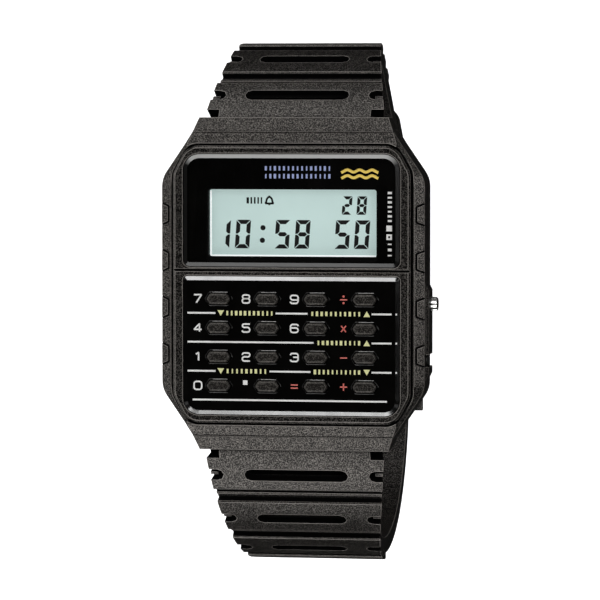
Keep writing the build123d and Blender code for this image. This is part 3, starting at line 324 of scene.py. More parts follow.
class WatchStage(bpy.types.PropertyGroup):
    """Light and camera"""
    top_light: power("Top light", "Power of the soft box beyond 12 o'clock", 1.3)
    low_light: power("Low light", "Power of the soft box beyond 6 o'clock", 1.65)
    side_light: power("Side light", "Power of the soft box at the left", 1.2)
    fill_light: power("Fill light", "Power of the weak soft box at the right", 1.1)
    strip_light: power(
        "Strip light", "Power of each narrow light that the panel's bevels catch", 0.5)
    lens: FloatProperty(
        name="Lens", description="Focal length of the camera",
        default=232.5, unit="CAMERA")


# Node helpers

def add(tree, kind, settings, values):
    """Adds a node, sets its options, and fills its inputs with numbers or links."""
    item = tree.nodes.new(kind)
    for key, value in settings.items():
        setattr(item, key, value)
    for key, value in values.items():
        if isinstance(value, bpy.types.NodeSocket):
            tree.links.new(value, item.inputs[key])
        else:
            item.inputs[key].default_value = value
    return item


def new_tree(name, inputs):
    """A geometry tree with named inputs, and its input node."""
    tree = bpy.data.node_groups.new(name, "GeometryNodeTree")
    tree.is_modifier = True
    tree.interface.new_socket(
        "Geometry", in_out="INPUT", socket_type="NodeSocketGeometry")
    for label, kind in inputs:
        tree.interface.new_socket(label, in_out="INPUT", socket_type=f"NodeSocket{kind}")
    tree.interface.new_socket(
        "Geometry", in_out="OUTPUT", socket_type="NodeSocketGeometry")
    return tree, tree.nodes.new("NodeGroupInput")


def close_tree(tree, source, geometry):
    """Ends a tree: real geometry in the given finish."""
    real = add(tree, "GeometryNodeRealizeInstances", {}, {"Geometry": geometry})
    inked = add(tree, "GeometryNodeSetMaterial", {}, {
        "Geometry": real.outputs["Geometry"], "Material": source.outputs["Finish"]})
    add(tree, "NodeGroupOutput", {}, {"Geometry": inked.outputs["Geometry"]})


def edge_curve(tree, source):
    """Every chain of edges as a curve."""
    path = add(tree, "GeometryNodeMeshToCurve", {}, {"Mesh": source.outputs["Geometry"]})
    return path.outputs["Curve"]


def rounded_curve(tree, source):
    """Every chain of edges as a curve with rounded corners."""
    rounded = add(tree, "GeometryNodeFilletCurve", {"mode": "POLY"}, {
        "Curve": edge_curve(tree, source), "Count": 3,
        "Radius": source.outputs["Corner Radius"], "Limit Radius": True})
    return rounded.outputs["Curve"]


def line_tree():
    """A flat ribbon along every chain of edges."""
    tree, source = new_tree("Printed Line", (
        ("Width", "Float"), ("Height", "Float"), ("Corner Radius", "Float"),
        ("Finish", "Material")))
    level = add(tree, "GeometryNodeSetCurveNormal", {"mode": "Z_UP"}, {
        "Curve": rounded_curve(tree, source)})
    section = add(tree, "GeometryNodeCurvePrimitiveQuadrilateral", {}, {
        "Width": source.outputs["Width"], "Height": source.outputs["Height"]})
    ribbon = add(tree, "GeometryNodeCurveToMesh", {}, {
        "Curve": level.outputs["Curve"], "Profile Curve": section.outputs["Curve"],
        "Fill Caps": True})
    close_tree(tree, source, ribbon.outputs["Mesh"])
    return tree


def bead_tree():
    """A round bead along every chain of edges."""
    tree, source = new_tree("Rim Bead", (
        ("Radius", "Float"), ("Corner Radius", "Float"), ("Finish", "Material")))
    section = add(tree, "GeometryNodeCurvePrimitiveCircle", {}, {
        "Resolution": 8, "Radius": source.outputs["Radius"]})
    bead = add(tree, "GeometryNodeCurveToMesh", {}, {
        "Curve": rounded_curve(tree, source), "Profile Curve": section.outputs["Curve"],
        "Fill Caps": True})
    smooth = add(tree, "GeometryNodeSetShadeSmooth", {}, {"Geometry": bead.outputs["Mesh"]})
    close_tree(tree, source, smooth.outputs["Geometry"])
    return tree


def mark_tree():
    """Small upright marks of uneven width along every chain of edges."""
    tree, source = new_tree("Mark Row", (
        ("Pitch", "Float"), ("Mark Size", "Vector"), ("Seed", "Int"), ("Finish", "Material")))
    points = add(tree, "GeometryNodeCurveToPoints", {"mode": "LENGTH"}, {
        "Curve": edge_curve(tree, source), "Length": source.outputs["Pitch"]})
    turn = add(tree, "FunctionNodeAlignRotationToVector", {"axis": "X"}, {
        "Vector": points.outputs["Tangent"]})
    stretch = add(tree, "FunctionNodeRandomValue", {"data_type": "FLOAT_VECTOR"}, {
        0: (0.45, 0.86, 1), 1: (1, 1, 1), "Seed": source.outputs["Seed"]})
    mark = add(tree, "GeometryNodeMeshCube", {}, {"Size": source.outputs["Mark Size"]})
    row = add(tree, "GeometryNodeInstanceOnPoints", {}, {
        "Points": points.outputs["Points"], "Instance": mark.outputs["Mesh"],
        "Rotation": turn.outputs["Rotation"], "Scale": stretch.outputs[0]})
    close_tree(tree, source, row.outputs["Instances"])
    return tree


# Pieces

def seat(item):
    """A piece that stays with the watch."""
    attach(item, "watch")


def dress(finish, *names):
    """Gives CAD nodes a finish."""
    for name in names:
        mesh = nodes[name].data
        mesh.materials.clear()
        mesh.materials.append(finish)


def edge_object(name, paths):
    """An object of bare edges. Each path is its points and, last, whether it closes."""
    mesh = bpy.data.meshes.new(name)
    points, edges = [], []
    for path in paths:
        first = len(points)
        points += path[:-1]
        edges += [(index, index + 1) for index in range(first, len(points) - 1)]
        if path[-1]:
            edges.append((len(points) - 1, first))
    mesh.from_pydata(points, edges, [])
    item = bpy.data.objects.new(name, mesh)
    bpy.context.scene.collection.objects.link(item)
    return item


def grow(name, paths, tree, values):
    """A piece that a geometry tree makes along paths, left as its plain mesh."""
    item = edge_object(name, paths)
    modifier = item.modifiers.new(tree.name, "NODES")
    modifier.node_group = tree
    for socket in tree.interface.items_tree:
        if socket.in_out == "INPUT" and socket.name in values:
            modifier[socket.identifier] = values[socket.name]
    graph = bpy.context.evaluated_depsgraph_get()
    mesh = bpy.data.meshes.new_from_object(item.evaluated_get(graph))
    item.modifiers.remove(modifier)
    bare = item.data
    item.data = mesh
    bpy.data.meshes.remove(bare)
    mesh.name = name
    if not mesh.polygons:
        raise RuntimeError(f"{name} came out empty")
    seat(item)


def lines(name, paths, width, height, corner, finish):
    """A piece of flat ribbons along paths."""
    grow(name, paths, line_tree(), {
        "Width": width, "Height": height, "Corner Radius": corner, "Finish": finish})


def beads(name, paths, radius, corner, finish):
    """A piece of round beads along paths."""
    grow(name, paths, bead_tree(), {
        "Radius": radius, "Corner Radius": corner, "Finish": finish})


def marks(name, paths, tall, seed, finish):
    """A piece of small printed marks along paths."""
    look = bpy.context.scene.watch_print
    grow(name, paths, mark_tree(), {
        "Pitch": look.mark_pitch, "Mark Size": (MARK_WIDTH * MM, tall * MM, 2 * look.ink_height),
        "Seed": seed, "Finish": finish})


def prisms(name, outlines, low, high, finish):
    """Closed flat shapes with the given outlines, in metres, from low to high."""
    shape = bmesh.new()
    for outline in outlines:
        floor = [shape.verts.new((x, y, low)) for x, y in outline]
        roof = [shape.verts.new((x, y, high)) for x, y in outline]
        shape.faces.new(floor[::-1])
        shape.faces.new(roof)
        for index in range(len(outline)):
            after = (index + 1) % len(outline)
            shape.faces.new((floor[index], floor[after], roof[after], roof[index]))
    bmesh.ops.recalc_face_normals(shape, faces=shape.faces)
    mesh = bpy.data.meshes.new(name)
    shape.to_mesh(mesh)
    shape.free()
    mesh.materials.append(finish)
    item = bpy.data.objects.new(name, mesh)
    bpy.context.scene.collection.objects.link(item)
    return item


def pressed_spring(button):
    """A copy of a button's spring with its own mesh, kept with the watch while the original is
    hidden.
    """
    spring = f"{button}_spring"
    coil = bpy.data.objects.new(f"{spring}_coil", nodes[spring].data.copy())
    bpy.context.scene.collection.objects.link(coil)
    seat(coil)
    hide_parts(spring)
    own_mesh(coil)


# Shapes of the print

def mm(*values):
    """Millimetres as metres."""
    return [value * MM for value in values]


def run(x, y, end_x, end_y, level):
    """A straight path between two places in millimetres, at a level in metres."""
    return [(x * MM, y * MM, level), (end_x * MM, end_y * MM, level), False]


def rectangle(x, y, width, height):
    return [(x - width / 2, y - height / 2), (x + width / 2, y - height / 2),
            (x + width / 2, y + height / 2), (x - width / 2, y + height / 2)]


def disc(x, y, radius, sides=20):
    turns = [2 * math.pi * side / sides for side in range(sides)]
    return [(x + radius * math.cos(turn), y + radius * math.sin(turn)) for turn in turns]


def figure_paths(label, x, y, stroke, width, height, level):
    """The lines of a figure or sign, centred on x and y, in metres."""
    across, tall = width - stroke, height - stroke
    left, foot = x - across / 2, y - tall / 2
    return [
        [(left + u * across, foot + v * tall, level) for u, v in path[:-1]] + [path[-1]]
        for path in FIGURES[label]
    ]


def segment_outlines(figure, x, y, width, height, thick, gap, slant):
    """The lit segments of one figure, leaning about its middle."""
    slack = gap / math.sqrt(2)
    half, inner = width / 2, width / 2 - thick
    top, middle = height / 2, thick / 2
    bar = [(-half + slack, top), (half - slack, top),
           (inner - slack, top - thick), (-inner + slack, top - thick)]
    post = [(half, top - slack), (half, slack), (half - middle, slack),
            (inner, middle + slack), (inner, top - thick - slack)]
    shapes = {
        "a": bar,
        "d": [(u, -v) for u, v in bar],
        "b": post,
        "c": [(u, -v) for u, v in post],
        "f": [(-u, v) for u, v in post],
        "e": [(-u, -v) for u, v in post],
        "g": [(-half + middle + slack, 0), (-inner + slack, middle), (inner - slack, middle),
              (half - middle - slack, 0), (inner - slack, -middle), (-inner + slack, -middle)],
    }
    lean = math.tan(slant)
    return [[(x + u + v * lean, y + v) for u, v in shapes[letter]] for letter in LIT[figure]]


# Finish helpers

def new_finish(name):
    """A material, its tree, its shader and the object's coordinates."""
    finish = bpy.data.materials.new(name)
    finish.use_nodes = True
    tree = finish.node_tree
    where = tree.nodes.new("ShaderNodeTexCoord").outputs["Object"]
    return finish, tree, tree.nodes["Principled BSDF"], where


def noise(tree, where, size, detail=2.0):
    """Noise whose blobs are about this size, in metres."""
    return add(tree, "ShaderNodeTexNoise", {}, {
        "Vector": where, "Scale": 0.5 / size, "Detail": detail, "Roughness": 0.6}).outputs["Fac"]


def ramp(tree, value, *stops):
    """A colour ramp. Each stop is its place and colour."""
    item = add(tree, "ShaderNodeValToRGB", {}, {"Fac": value})
    steps = item.color_ramp.elements
    while len(steps) < len(stops):
        steps.new(0.5)
    for step, (place, colour) in zip(steps, stops):
        step.position = place
        step.color = (*colour, 1)
    return item.outputs["Color"]


def remap(tree, value, start, end, first, last):
    """Numbers from start to end, stretched to run from first to last."""
    return add(tree, "ShaderNodeMapRange", {}, {
        "Value": value, "From Min": start, "From Max": end,
        "To Min": first, "To Max": last}).outputs["Result"]


def spread(tree, value, low, high):
    """Stretches noise, which stays near the middle, from low to high."""
    return remap(tree, value, 0.3, 0.7, low, high)


def tinted(tree, value, low, high):
    """Turns noise, which stays near the middle, into colours from low to high."""
    return ramp(tree, value, (0.3, low), (0.7, high))


def shade(colour, factor):
    return tuple(min(1, part * factor) for part in colour)


def maths(tree, operation, *values):
    """The result of one operation on numbers or links."""
    return add(tree, "ShaderNodeMath", {"operation": operation},
               dict(enumerate(values))).outputs["Value"]


def blend_colours(tree, kind, factor, under, over):
    return add(tree, "ShaderNodeMix", {"data_type": "RGBA", "blend_type": kind}, {
        0: factor, 6: under, 7: over}).outputs[2]


def surface(tree):
    """The surface's own normal."""
    return add(tree, "ShaderNodeNewGeometry", {}, {}).outputs["Normal"]


def facing(tree, axis):
    """How far the surface faces along an axis, from -1 to 1."""
    return add(tree, "ShaderNodeSeparateXYZ", {}, {"Vector": surface(tree)}).outputs[axis]


def soft_edge(tree, radius):
    """The surface's normal, rounded over at its edges."""
    return add(tree, "ShaderNodeBevel", {"samples": 8}, {"Radius": radius}).outputs["Normal"]


def worn_and_lit_edge(tree, rounded):
    """One on the surface's edges and zero on its flats."""
    turn = add(tree, "ShaderNodeVectorMath", {"operation": "DOT_PRODUCT"}, {
        0: rounded, 1: surface(tree)})
    return remap(tree, turn.outputs["Value"], 0.999, 0.95, 0, 1)


def bump(tree, shader, height, strength, depth, normal=None):
    values = {"Height": height, "Strength": strength, "Distance": depth}
    if normal:
        values["Normal"] = normal
    raised = add(tree, "ShaderNodeBump", {}, values).outputs["Normal"]
    tree.links.new(raised, shader.inputs["Normal"])


# Finishes

def speckled_resin(name, colour, roughness, contrast=1.0, wear_and_highlight=1.0):
    """Moulded resin: a fine speckle, a slow mottle, painted shade in its crevices and edges painted
    lighter, partly as worn edges and partly as a painted highlight.
    """
    shut_at, open_at = 0.62, 0.93
    look = bpy.context.scene.watch_finish
    finish, tree, shader, where = new_finish(name)
    grain = noise(tree, where, look.grain_size, 1.0)
    mottle = noise(tree, where, 17 * look.grain_size)
    fine = ramp(
        tree, grain, (0.37, shade(colour, 1 - 0.85 * contrast)), (0.5, shade(colour, 0.7)),
        (0.63, shade(colour, 1 + 3 * contrast)))
    slow = tinted(tree, mottle, (0.8, 0.8, 0.8), (1, 1, 1))
    shut = add(tree, "ShaderNodeAmbientOcclusion", {"samples": 16}, {
        "Distance": look.crevice_reach}).outputs["AO"]
    # Ambient occlusion darkens the colour in hollows and gaps: painted shade.
    painted_crevice_shade = ramp(tree, shut, (shut_at, (0.03, 0.03, 0.03)), (open_at, (1, 1, 1)))
    body = blend_colours(tree, "MULTIPLY", 1.0, fine, slow)
    shaded = blend_colours(tree, "MULTIPLY", 1.0, body, painted_crevice_shade)
    rounded = soft_edge(tree, look.edge_radius)
    # Edges outside the hollows are painted lighter: partly worn edges, partly a painted highlight.
    open_edge = remap(tree, shut, 0.78, 0.92, 0, worn_and_lit_edge(tree, rounded))
    highlit = (*shade(colour, wear_and_highlight * look.edge_wear_and_highlight), 1)
    tree.links.new(
        blend_colours(tree, "MIX", open_edge, shaded, highlit), shader.inputs["Base Color"])
    gloss = spread(tree, grain, roughness - 0.08, roughness + 0.12)
    matt = remap(tree, shut, shut_at, open_at, 0.5, 0)
    tree.links.new(maths(tree, "ADD", gloss, matt), shader.inputs["Roughness"])
    tree.links.new(remap(tree, open_edge, 0, 1, 0.8, 0.1), shader.inputs["Metallic"])
    bump(tree, shader, grain, 1.0, look.grain_depth, rounded)
    return finish


def gloss_panel():
    """Black lacquer: mirror smooth, with faint wiping marks and a painted highlight on its upper
    and lower bevels.
    """
    finish, tree, shader, where = new_finish("Gloss_Black_Panel")
    wipe = noise(tree, where, 1.5 * MM)
    # Bevels facing 12 and 6 o'clock turn light grey and metallic: a painted highlight.
    bevel = remap(tree, facing(tree, "Z"), 0.985, 0.965, 0, 1)
    lengthwise = maths(tree, "ABSOLUTE", facing(tree, "Y"))
    bevel_highlight = remap(tree, lengthwise, 0.06, 0.16, 0, bevel)
    tint = tinted(tree, wipe, (0.0012, 0.0011, 0.001), (0.0022, 0.002, 0.0018))
    highlit = blend_colours(tree, "MIX", bevel_highlight, tint, (0.2, 0.2, 0.2, 1))
    tree.links.new(highlit, shader.inputs["Base Color"])
    tree.links.new(bevel_highlight, shader.inputs["Metallic"])
    tree.links.new(spread(tree, wipe, 0.1, 0.17), shader.inputs["Roughness"])
    return finish


def clear_lens():
    """Clear acrylic: nearly unseen on its flat, and a smoky bevel with a painted highlight on its
    top side.
    """
    bevel_at = 0.975
    finish, tree, shader, where = new_finish("Clear_Acrylic_Lens")
    level = maths(tree, "ABSOLUTE", facing(tree, "Z"))
    rim = remap(tree, level, bevel_at, 0.99, 1, 0)
    haze = noise(tree, where, 3 * MM)
    tint = tinted(tree, haze, (0.02, 0.02, 0.019), (0.032, 0.031, 0.03))
    # The bevel facing 12 o'clock is painted light grey: a painted highlight.
    lit = ramp(tree, facing(tree, "Y"), (0.12, (0.008, 0.008, 0.0078)), (0.26, (0.42, 0.42, 0.41)))
    tree.links.new(blend_colours(tree, "MIX", rim, tint, lit), shader.inputs["Base Color"])
    tree.links.new(remap(tree, level, bevel_at, 0.995, 1, 0.03), shader.inputs["Alpha"])
    tree.links.new(spread(tree, haze, 0.12, 0.16), shader.inputs["Roughness"])
    shader.inputs["IOR"].default_value = 1.49
    return finish


def display_ground():
    """The display's pale ground under its glass, glowing with painted light."""
    finish, tree, shader, where = new_finish("Display_Ground")
    ground = bpy.context.scene.watch_display.ground
    cloud = noise(tree, where, 4 * MM)
    fine = noise(tree, where, 0.08 * MM)
    tint = tinted(tree, cloud, shade(ground, 0.96), shade(ground, 1.03))
    # The ground is dimmed and made to glow: a painted glow.
    dimmed = blend_colours(tree, "MULTIPLY", 1.0, tint, (0.7, 0.7, 0.7, 1))
    tree.links.new(dimmed, shader.inputs["Base Color"])
    tree.links.new(tint, shader.inputs["Emission Color"])
    shader.inputs["Emission Strength"].default_value = 0.53
    tree.links.new(spread(tree, fine, 0.3, 0.42), shader.inputs["Roughness"])
    return finish


def ink(name, colour, glow=0.12):
    """Screen ink with a slightly uneven body and a faint painted glow."""
    finish, tree, shader, where = new_finish(name)
    body = noise(tree, where, 0.12 * MM)
    tint = tinted(tree, body, shade(colour, 0.88), colour)
    tree.links.new(tint, shader.inputs["Base Color"])
    # The ink glows: a painted glow.
    tree.links.new(tint, shader.inputs["Emission Color"])
    shader.inputs["Emission Strength"].default_value = glow
    tree.links.new(spread(tree, body, 0.45, 0.6), shader.inputs["Roughness"])
    return finish


def metal(name, colour, roughness, scratch=0.6 * MM):
    """Plated or bare metal with faint scratches and a cloudy polish."""
    finish, tree, shader, where = new_finish(name)
    cloud = noise(tree, where, scratch)
    stretched = add(tree, "ShaderNodeMapping", {}, {"Vector": where, "Scale": (1, 9, 9)})
    scratches = noise(tree, stretched.outputs["Vector"], scratch)
    tree.links.new(
        tinted(tree, cloud, shade(colour, 0.82), colour), shader.inputs["Base Color"])
    shader.inputs["Metallic"].default_value = 1.0
    tree.links.new(
        spread(tree, scratches, roughness * 0.7, roughness * 1.4), shader.inputs["Roughness"])
    bump(tree, shader, scratches, 0.08, 0.01 * MM)
    return finish


def rim_polish_and_highlight(name, colour, metallic):
    """The polish on a key hole's edge; in a pale colour, a painted highlight over the hole."""
    finish, tree, shader, where = new_finish(name)
    polish = noise(tree, where, 0.4 * MM)
    tree.links.new(
        tinted(tree, polish, shade(colour, 0.7), shade(colour, 1.3)), shader.inputs["Base Color"])
    shader.inputs["Metallic"].default_value = metallic
    tree.links.new(spread(tree, polish, 0.14, 0.24), shader.inputs["Roughness"])
    return finish


def moulded(name, colour, roughness, grain=0.3 * MM):
    """A plain moulded plastic or rubber with a fine tool texture."""
    finish, tree, shader, where = new_finish(name)
    texture = noise(tree, where, grain)
    tree.links.new(
        tinted(tree, texture, shade(colour, 0.8), shade(colour, 1.12)),
        shader.inputs["Base Color"])
    tree.links.new(
        spread(tree, texture, roughness - 0.08, roughness + 0.08), shader.inputs["Roughness"])
    bump(tree, shader, texture, 0.2, 0.01 * MM)
    return finish


def painted_groove_shade():
    """Near-black matt resin laid in the unlit groove round a grip block: painted shade."""
    finish = moulded("Grip_Line_Resin", (0.002, 0.002, 0.002), 0.8)
    shader = finish.node_tree.nodes["Principled BSDF"]
    shader.inputs["Specular IOR Level"].default_value = 0.05
    return finish


def board_finish():
    """Green solder mask over a woven board."""
    finish, tree, shader, where = new_finish("Green_Board")
    weave = add(tree, "ShaderNodeTexVoronoi", {"distance": "CHEBYCHEV"}, {
        "Vector": where, "Scale": 0.5 / (0.25 * MM), "Randomness": 0.15})
    cloud = noise(tree, where, 3 * MM)
    tree.links.new(
        tinted(tree, cloud, (0.012, 0.09, 0.035), (0.02, 0.13, 0.05)), shader.inputs["Base Color"])
    shader.inputs["Roughness"].default_value = 0.3
    bump(tree, shader, weave.outputs["Distance"], 0.25, 0.02 * MM)
    return finish


def floor_finish():
    """A pale studio sweep that keeps itself evenly light."""
    finish, tree, shader, where = new_finish("Pale_Floor")
    cloud = noise(tree, where, 0.4)
    tint = tinted(tree, cloud, (0.97, 0.97, 0.97), (1, 1, 1))
    tree.links.new(tint, shader.inputs["Base Color"])
    tree.links.new(tint, shader.inputs["Emission Color"])
    shader.inputs["Emission Strength"].default_value = 0.95
    shader.inputs["Roughness"].default_value = 0.9
    return finish


# Operators: one for each piece or group of like pieces

class WATCH_OT_case(bpy.types.Operator):
    """Give the case and its raised parts their speckled resin"""
    bl_idname = "watch.case"
    bl_label = "Case resin"

    def execute(self, context):
        look = context.scene.watch_finish
        dress(speckled_resin("Case_Resin", look.case_colour, 0.34), "case")
        return {"FINISHED"}


class WATCH_OT_case_lines(bpy.types.Operator):
    """Lay the raised line across each sloping end and a black bead of painted shade in the groove
    round each grip block
    """
    bl_idname = "watch.case_lines"
    bl_label = "Case lines"

    def execute(self, context):
        look = context.scene.watch_finish
        folds = [
            run(-FOLD_HALF_LENGTH, side * FOLD_PLACE, FOLD_HALF_LENGTH, side * FOLD_PLACE,
                FOLD_LEVEL * MM)
            for side in (1, -1)]
        beads("case_fold_lines", folds, FOLD_RADIUS * look.rim_radius, 0.0,
              bpy.data.materials["Case_Resin"])
        outlines = [
            [(side * x * MM, (place + y) * MM, z * MM) for x, y, z in GRIP_OUTLINE] + [False]
            for side in (1, -1) for place in GRIP_PLACES]
        # A near-black bead fills each grip block's groove: painted shade.
        beads("grip_block_lines", outlines, GRIP_RADIUS * MM, GRIP_CORNER * MM,
              painted_groove_shade())
        return {"FINISHED"}


class WATCH_OT_strap(bpy.types.Operator):
    """Give the strap, its loops and the buckle their resin"""
    bl_idname = "watch.strap"
    bl_label = "Strap and buckle resin"

    def execute(self, context):
        colour = context.scene.watch_finish.strap_colour
        dress(speckled_resin("Strap_Resin", colour, 0.36), "strap_12", "strap_6", "keeper_loop")
        dress(speckled_resin("Buckle_Resin", shade(colour, 0.8), 0.34, 0.6), "buckle_frame")
        return {"FINISHED"}


class WATCH_OT_panels(bpy.types.Operator):
    """Give the keypad panel and the display's mask their black gloss"""
    bl_idname = "watch.panels"
    bl_label = "Gloss panels"

    def execute(self, context):
        dress(gloss_panel(), "keypad_panel", "display_mask")
        return {"FINISHED"}


class WATCH_OT_lens(bpy.types.Operator):
    """Give the lens over the display its clear acrylic"""
    bl_idname = "watch.lens"
    bl_label = "Lens"

    def execute(self, context):
        dress(clear_lens(), "display_lens")
        return {"FINISHED"}


class WATCH_OT_keys(bpy.types.Operator):
    """Give the keys their resin, and lay a bead round each key hole and a pale bead over it as a
    painted highlight
    """
    bl_idname = "watch.keys"
    bl_label = "Keys and rims"

    def execute(self, context):
        look = context.scene.watch_finish
        names = [f"key_{label}" for row in LABELS for label in row]
        dress(speckled_resin("Key_Resin", look.key_colour, 0.36, 0.5, 0.2), *names)
        gap, level = BEAD_GAP * MM, PANEL_LEVEL * MM + BEAD_RISE * look.rim_radius
        crest = level + HIGHLIGHT_RISE * look.rim_radius
        half, flat = KEY_HALF_WIDTH * MM + 1.2 * gap, KEY_HALF_FLAT * MM + 0.5 * gap
        tall = KEY_HALF_HEIGHT * MM + gap
        hexagon = (
            (half, 0), (flat, tall), (-flat, tall), (-half, 0), (-flat, -tall), (flat, -tall))
        start, end = mm(*HIGHLIGHT_ENDS)
        rims, highlights = [], []
        for name in names:
            low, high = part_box(name)
            x, y = (low[0] + high[0]) / 2, (low[1] + high[1]) / 2
            rims.append([(x + u, y + v, level) for u, v in hexagon] + [True])
            highlights.append([(x + start, y + tall, crest), (x + end, y + tall, crest), False])
        beads("key_hole_rims", rims, look.rim_radius, BEAD_CORNER * MM,
              rim_polish_and_highlight("Key_Hole_Rim", (0.07, 0.069, 0.067), 1.0))
        # A pale bead over the top edge of each hole: a painted highlight.
        beads("key_hole_lips", highlights, HIGHLIGHT_RADIUS * look.rim_radius, 0.0,
              rim_polish_and_highlight("Key_Hole_Lip", (0.5, 0.49, 0.48), 0.3))
        return {"FINISHED"}


class WATCH_OT_key_labels(bpy.types.Operator):
    """Print the figures and the operator signs beside the keys"""
    bl_idname = "watch.key_labels"
    bl_label = "Key labels"

    def execute(self, context):
        look = context.scene.watch_print
        white, salmon = ink("White_Ink", look.white), ink("Salmon_Ink", look.salmon)
        level, thick = PANEL_LEVEL * MM, 2 * look.ink_height
        round_figures, straight_figures, signs, dots = [], [], [], []
        for row, y in zip(LABELS, LABEL_ROWS):
            for label, x in zip(row, LABEL_COLUMNS):
                if label in SIGNS:
                    width = (TIMES_WIDTH if label == "times" else SIGN_SIZE) * MM
                    signs += figure_paths(
                        label, x * MM, y * MM, look.sign_stroke, width, SIGN_SIZE * MM, level)
                elif label != "point":
                    figures = straight_figures if label in "147" else round_figures
                    figures += figure_paths(
                        label, x * MM, y * MM, look.figure_stroke,
                        look.figure_width, look.figure_height, level)
                if label == "divide":
                    dots += [disc(x * MM, (y + side * DOT_OFFSET) * MM, DOT_RADIUS * MM, 12)
                             for side in (1, -1)]
        lines("key_figures_round", round_figures, look.figure_stroke, thick,
              ROUND_CORNER * MM, white)
        lines("key_figures_straight", straight_figures, look.figure_stroke, thick,
              SHARP_CORNER * MM, white)
        lines("key_signs", signs, look.sign_stroke, thick, 0.0, salmon)
        span = (level - look.ink_height, level + look.ink_height)
        seat(prisms("key_sign_dots", dots, *span, salmon))
        point = [rectangle(*mm(*POINT_MARK))]
        seat(prisms("key_point_mark", point, *span, white))
        return {"FINISHED"}


class WATCH_OT_rules(bpy.types.Operator):
    """Print the rules, arrows and rows of marks between the keys"""
    bl_idname = "watch.rules"
    bl_label = "Keypad rules"

    def execute(self, context):
        look = context.scene.watch_print
        white, yellow = bpy.data.materials["White_Ink"], ink("Yellow_Ink", look.yellow)
        level = PANEL_LEVEL * MM
        span = (level - look.ink_height, level + look.ink_height)
        rules = [run(left, y, right, y, level) for y, parts in RULES for left, right in parts]
        lines("keypad_rules", rules, look.rule_width, 2 * look.ink_height, 0.0, white)
        ends = [rectangle(RULE_END_X * MM, y * MM, RULE_END_WIDTH * MM, look.rule_width)
                for y in RULE_ENDS]
        seat(prisms("keypad_rule_ends", ends, *span, white))
        arrows = [
            [mm(x - ARROW_HALF_WIDTH, y - ARROW_BASE * way),
             mm(x + ARROW_HALF_WIDTH, y - ARROW_BASE * way),
             mm(x, y + ARROW_TIP * way)]
            for x, y, way in ARROWS]
        seat(prisms("keypad_arrows", arrows, *span, yellow))
        rows = [run(left + MARK_INSET, y, right - MARK_INSET, y, level)
                for y, left, right in KEYPAD_MARKS]
        marks("keypad_marks", rows, MARK_HEIGHT, 7, yellow)
        return {"FINISHED"}


class WATCH_OT_window_print(bpy.types.Operator):
    """Print the marks and the plain emblem round the display"""
    bl_idname = "watch.window_print"
    bl_label = "Window print"

    def execute(self, context):
        look = context.scene.watch_print
        white = bpy.data.materials["White_Ink"]
        gold, blue = ink("Gold_Ink", look.gold, 0.25), ink("Blue_Ink", look.blue, 0.25)
        level = MASK_LEVEL * MM
        left, right = BLUE_ENDS
        rows = [run(left, y, right, y, level) for y in BLUE_ROWS]
        marks("window_blue_marks", rows, MARK_HEIGHT, 3, blue)
        columns = [run(WHITE_COLUMN, low, WHITE_COLUMN, high, level) for low, high in WHITE_ENDS]
        marks("window_white_marks", columns, WHITE_MARK_HEIGHT, 5, white)
        x, y, outer, inner = OPEN_SQUARE
        offset, thick = (outer + inner) / 2, outer - inner
        squares = [rectangle(*mm(*FULL_SQUARE))]
        squares += [rectangle(*mm(x, y + side * offset, 2 * outer, thick)) for side in (1, -1)]
        squares += [rectangle(*mm(x + side * offset, y, thick, 2 * inner)) for side in (1, -1)]
        span = (level - look.ink_height, level + look.ink_height)
        seat(prisms("window_squares", squares, *span, white))
        waves = [
            [((WAVE_START + WAVE_STEP * step) * MM,
              (y + (WAVE_RISE if step % 2 else -WAVE_RISE)) * MM, level)
             for step in range(WAVE_POINTS)] + [False]
            for y in WAVE_ROWS]
        lines("window_emblem", waves, WAVE_WIDTH * MM, 2 * look.ink_height,
              WAVE_CORNER * MM, gold)
        return {"FINISHED"}


class WATCH_OT_display(bpy.types.Operator):
    """Give the display its pale ground with a painted glow, its figures, colon and symbols, and a
    painted highlight along two edges of its glass
    """
    bl_idname = "watch.display"
    bl_label = "Display"

    def execute(self, context):
        look = context.scene.watch_display
        dress(display_ground(), "lcd_glass")
        dress(metal("Reflector_Foil", (0.75, 0.76, 0.77), 0.35), "lcd_reflector")
        black = moulded("Display_Segment", (0.0015, 0.002, 0.002), 0.85, 0.05 * MM)
        rows = (
            (TIME_FIGURES, TIME_ROW, look.segment_width, look.segment_gap),
            (DATE_FIGURES, DATE_ROW, DATE_SEGMENT_WIDTH * MM, look.segment_gap * DATE_GAP_SHARE))
        shapes = []
        for figures, (y, width, height), thick, gap in rows:
            for figure, x in figures:
                shapes += segment_outlines(
                    figure, *mm(x, y, width, height), thick, gap, look.slant)
        shapes += [disc(*mm(x, y, COLON_RADIUS)) for x, y in COLON]
        shapes += [rectangle(*mm(x, ALARM_ROW, wide, tall)) for x, wide, tall in ALARM_STROKES]
        span = ((GLASS_LEVEL - SEGMENT_ROOT) * MM, GLASS_LEVEL * MM + look.segment_height)
        seat(prisms("display_figures", shapes, *span, black))
        # Glowing pale strips on the glass's left and bottom edges: a painted highlight.
        edge_highlights = [rectangle(*mm(*edge_highlight)) for edge_highlight in EDGE_HIGHLIGHTS]
        pale = ink("Display_Sill", (0.95, 1.0, 1.0), 0.75)
        seat(prisms("display_sill", edge_highlights, *span, pale))
        level = GLASS_LEVEL * MM
        bell = [[(x * MM, y * MM, level) for x, y in part] + [part is BELL[0]] for part in BELL]
        lines("display_bell", bell, BELL_STROKE * MM, 2 * look.segment_height,
              BELL_CORNER * MM, black)
        return {"FINISHED"}


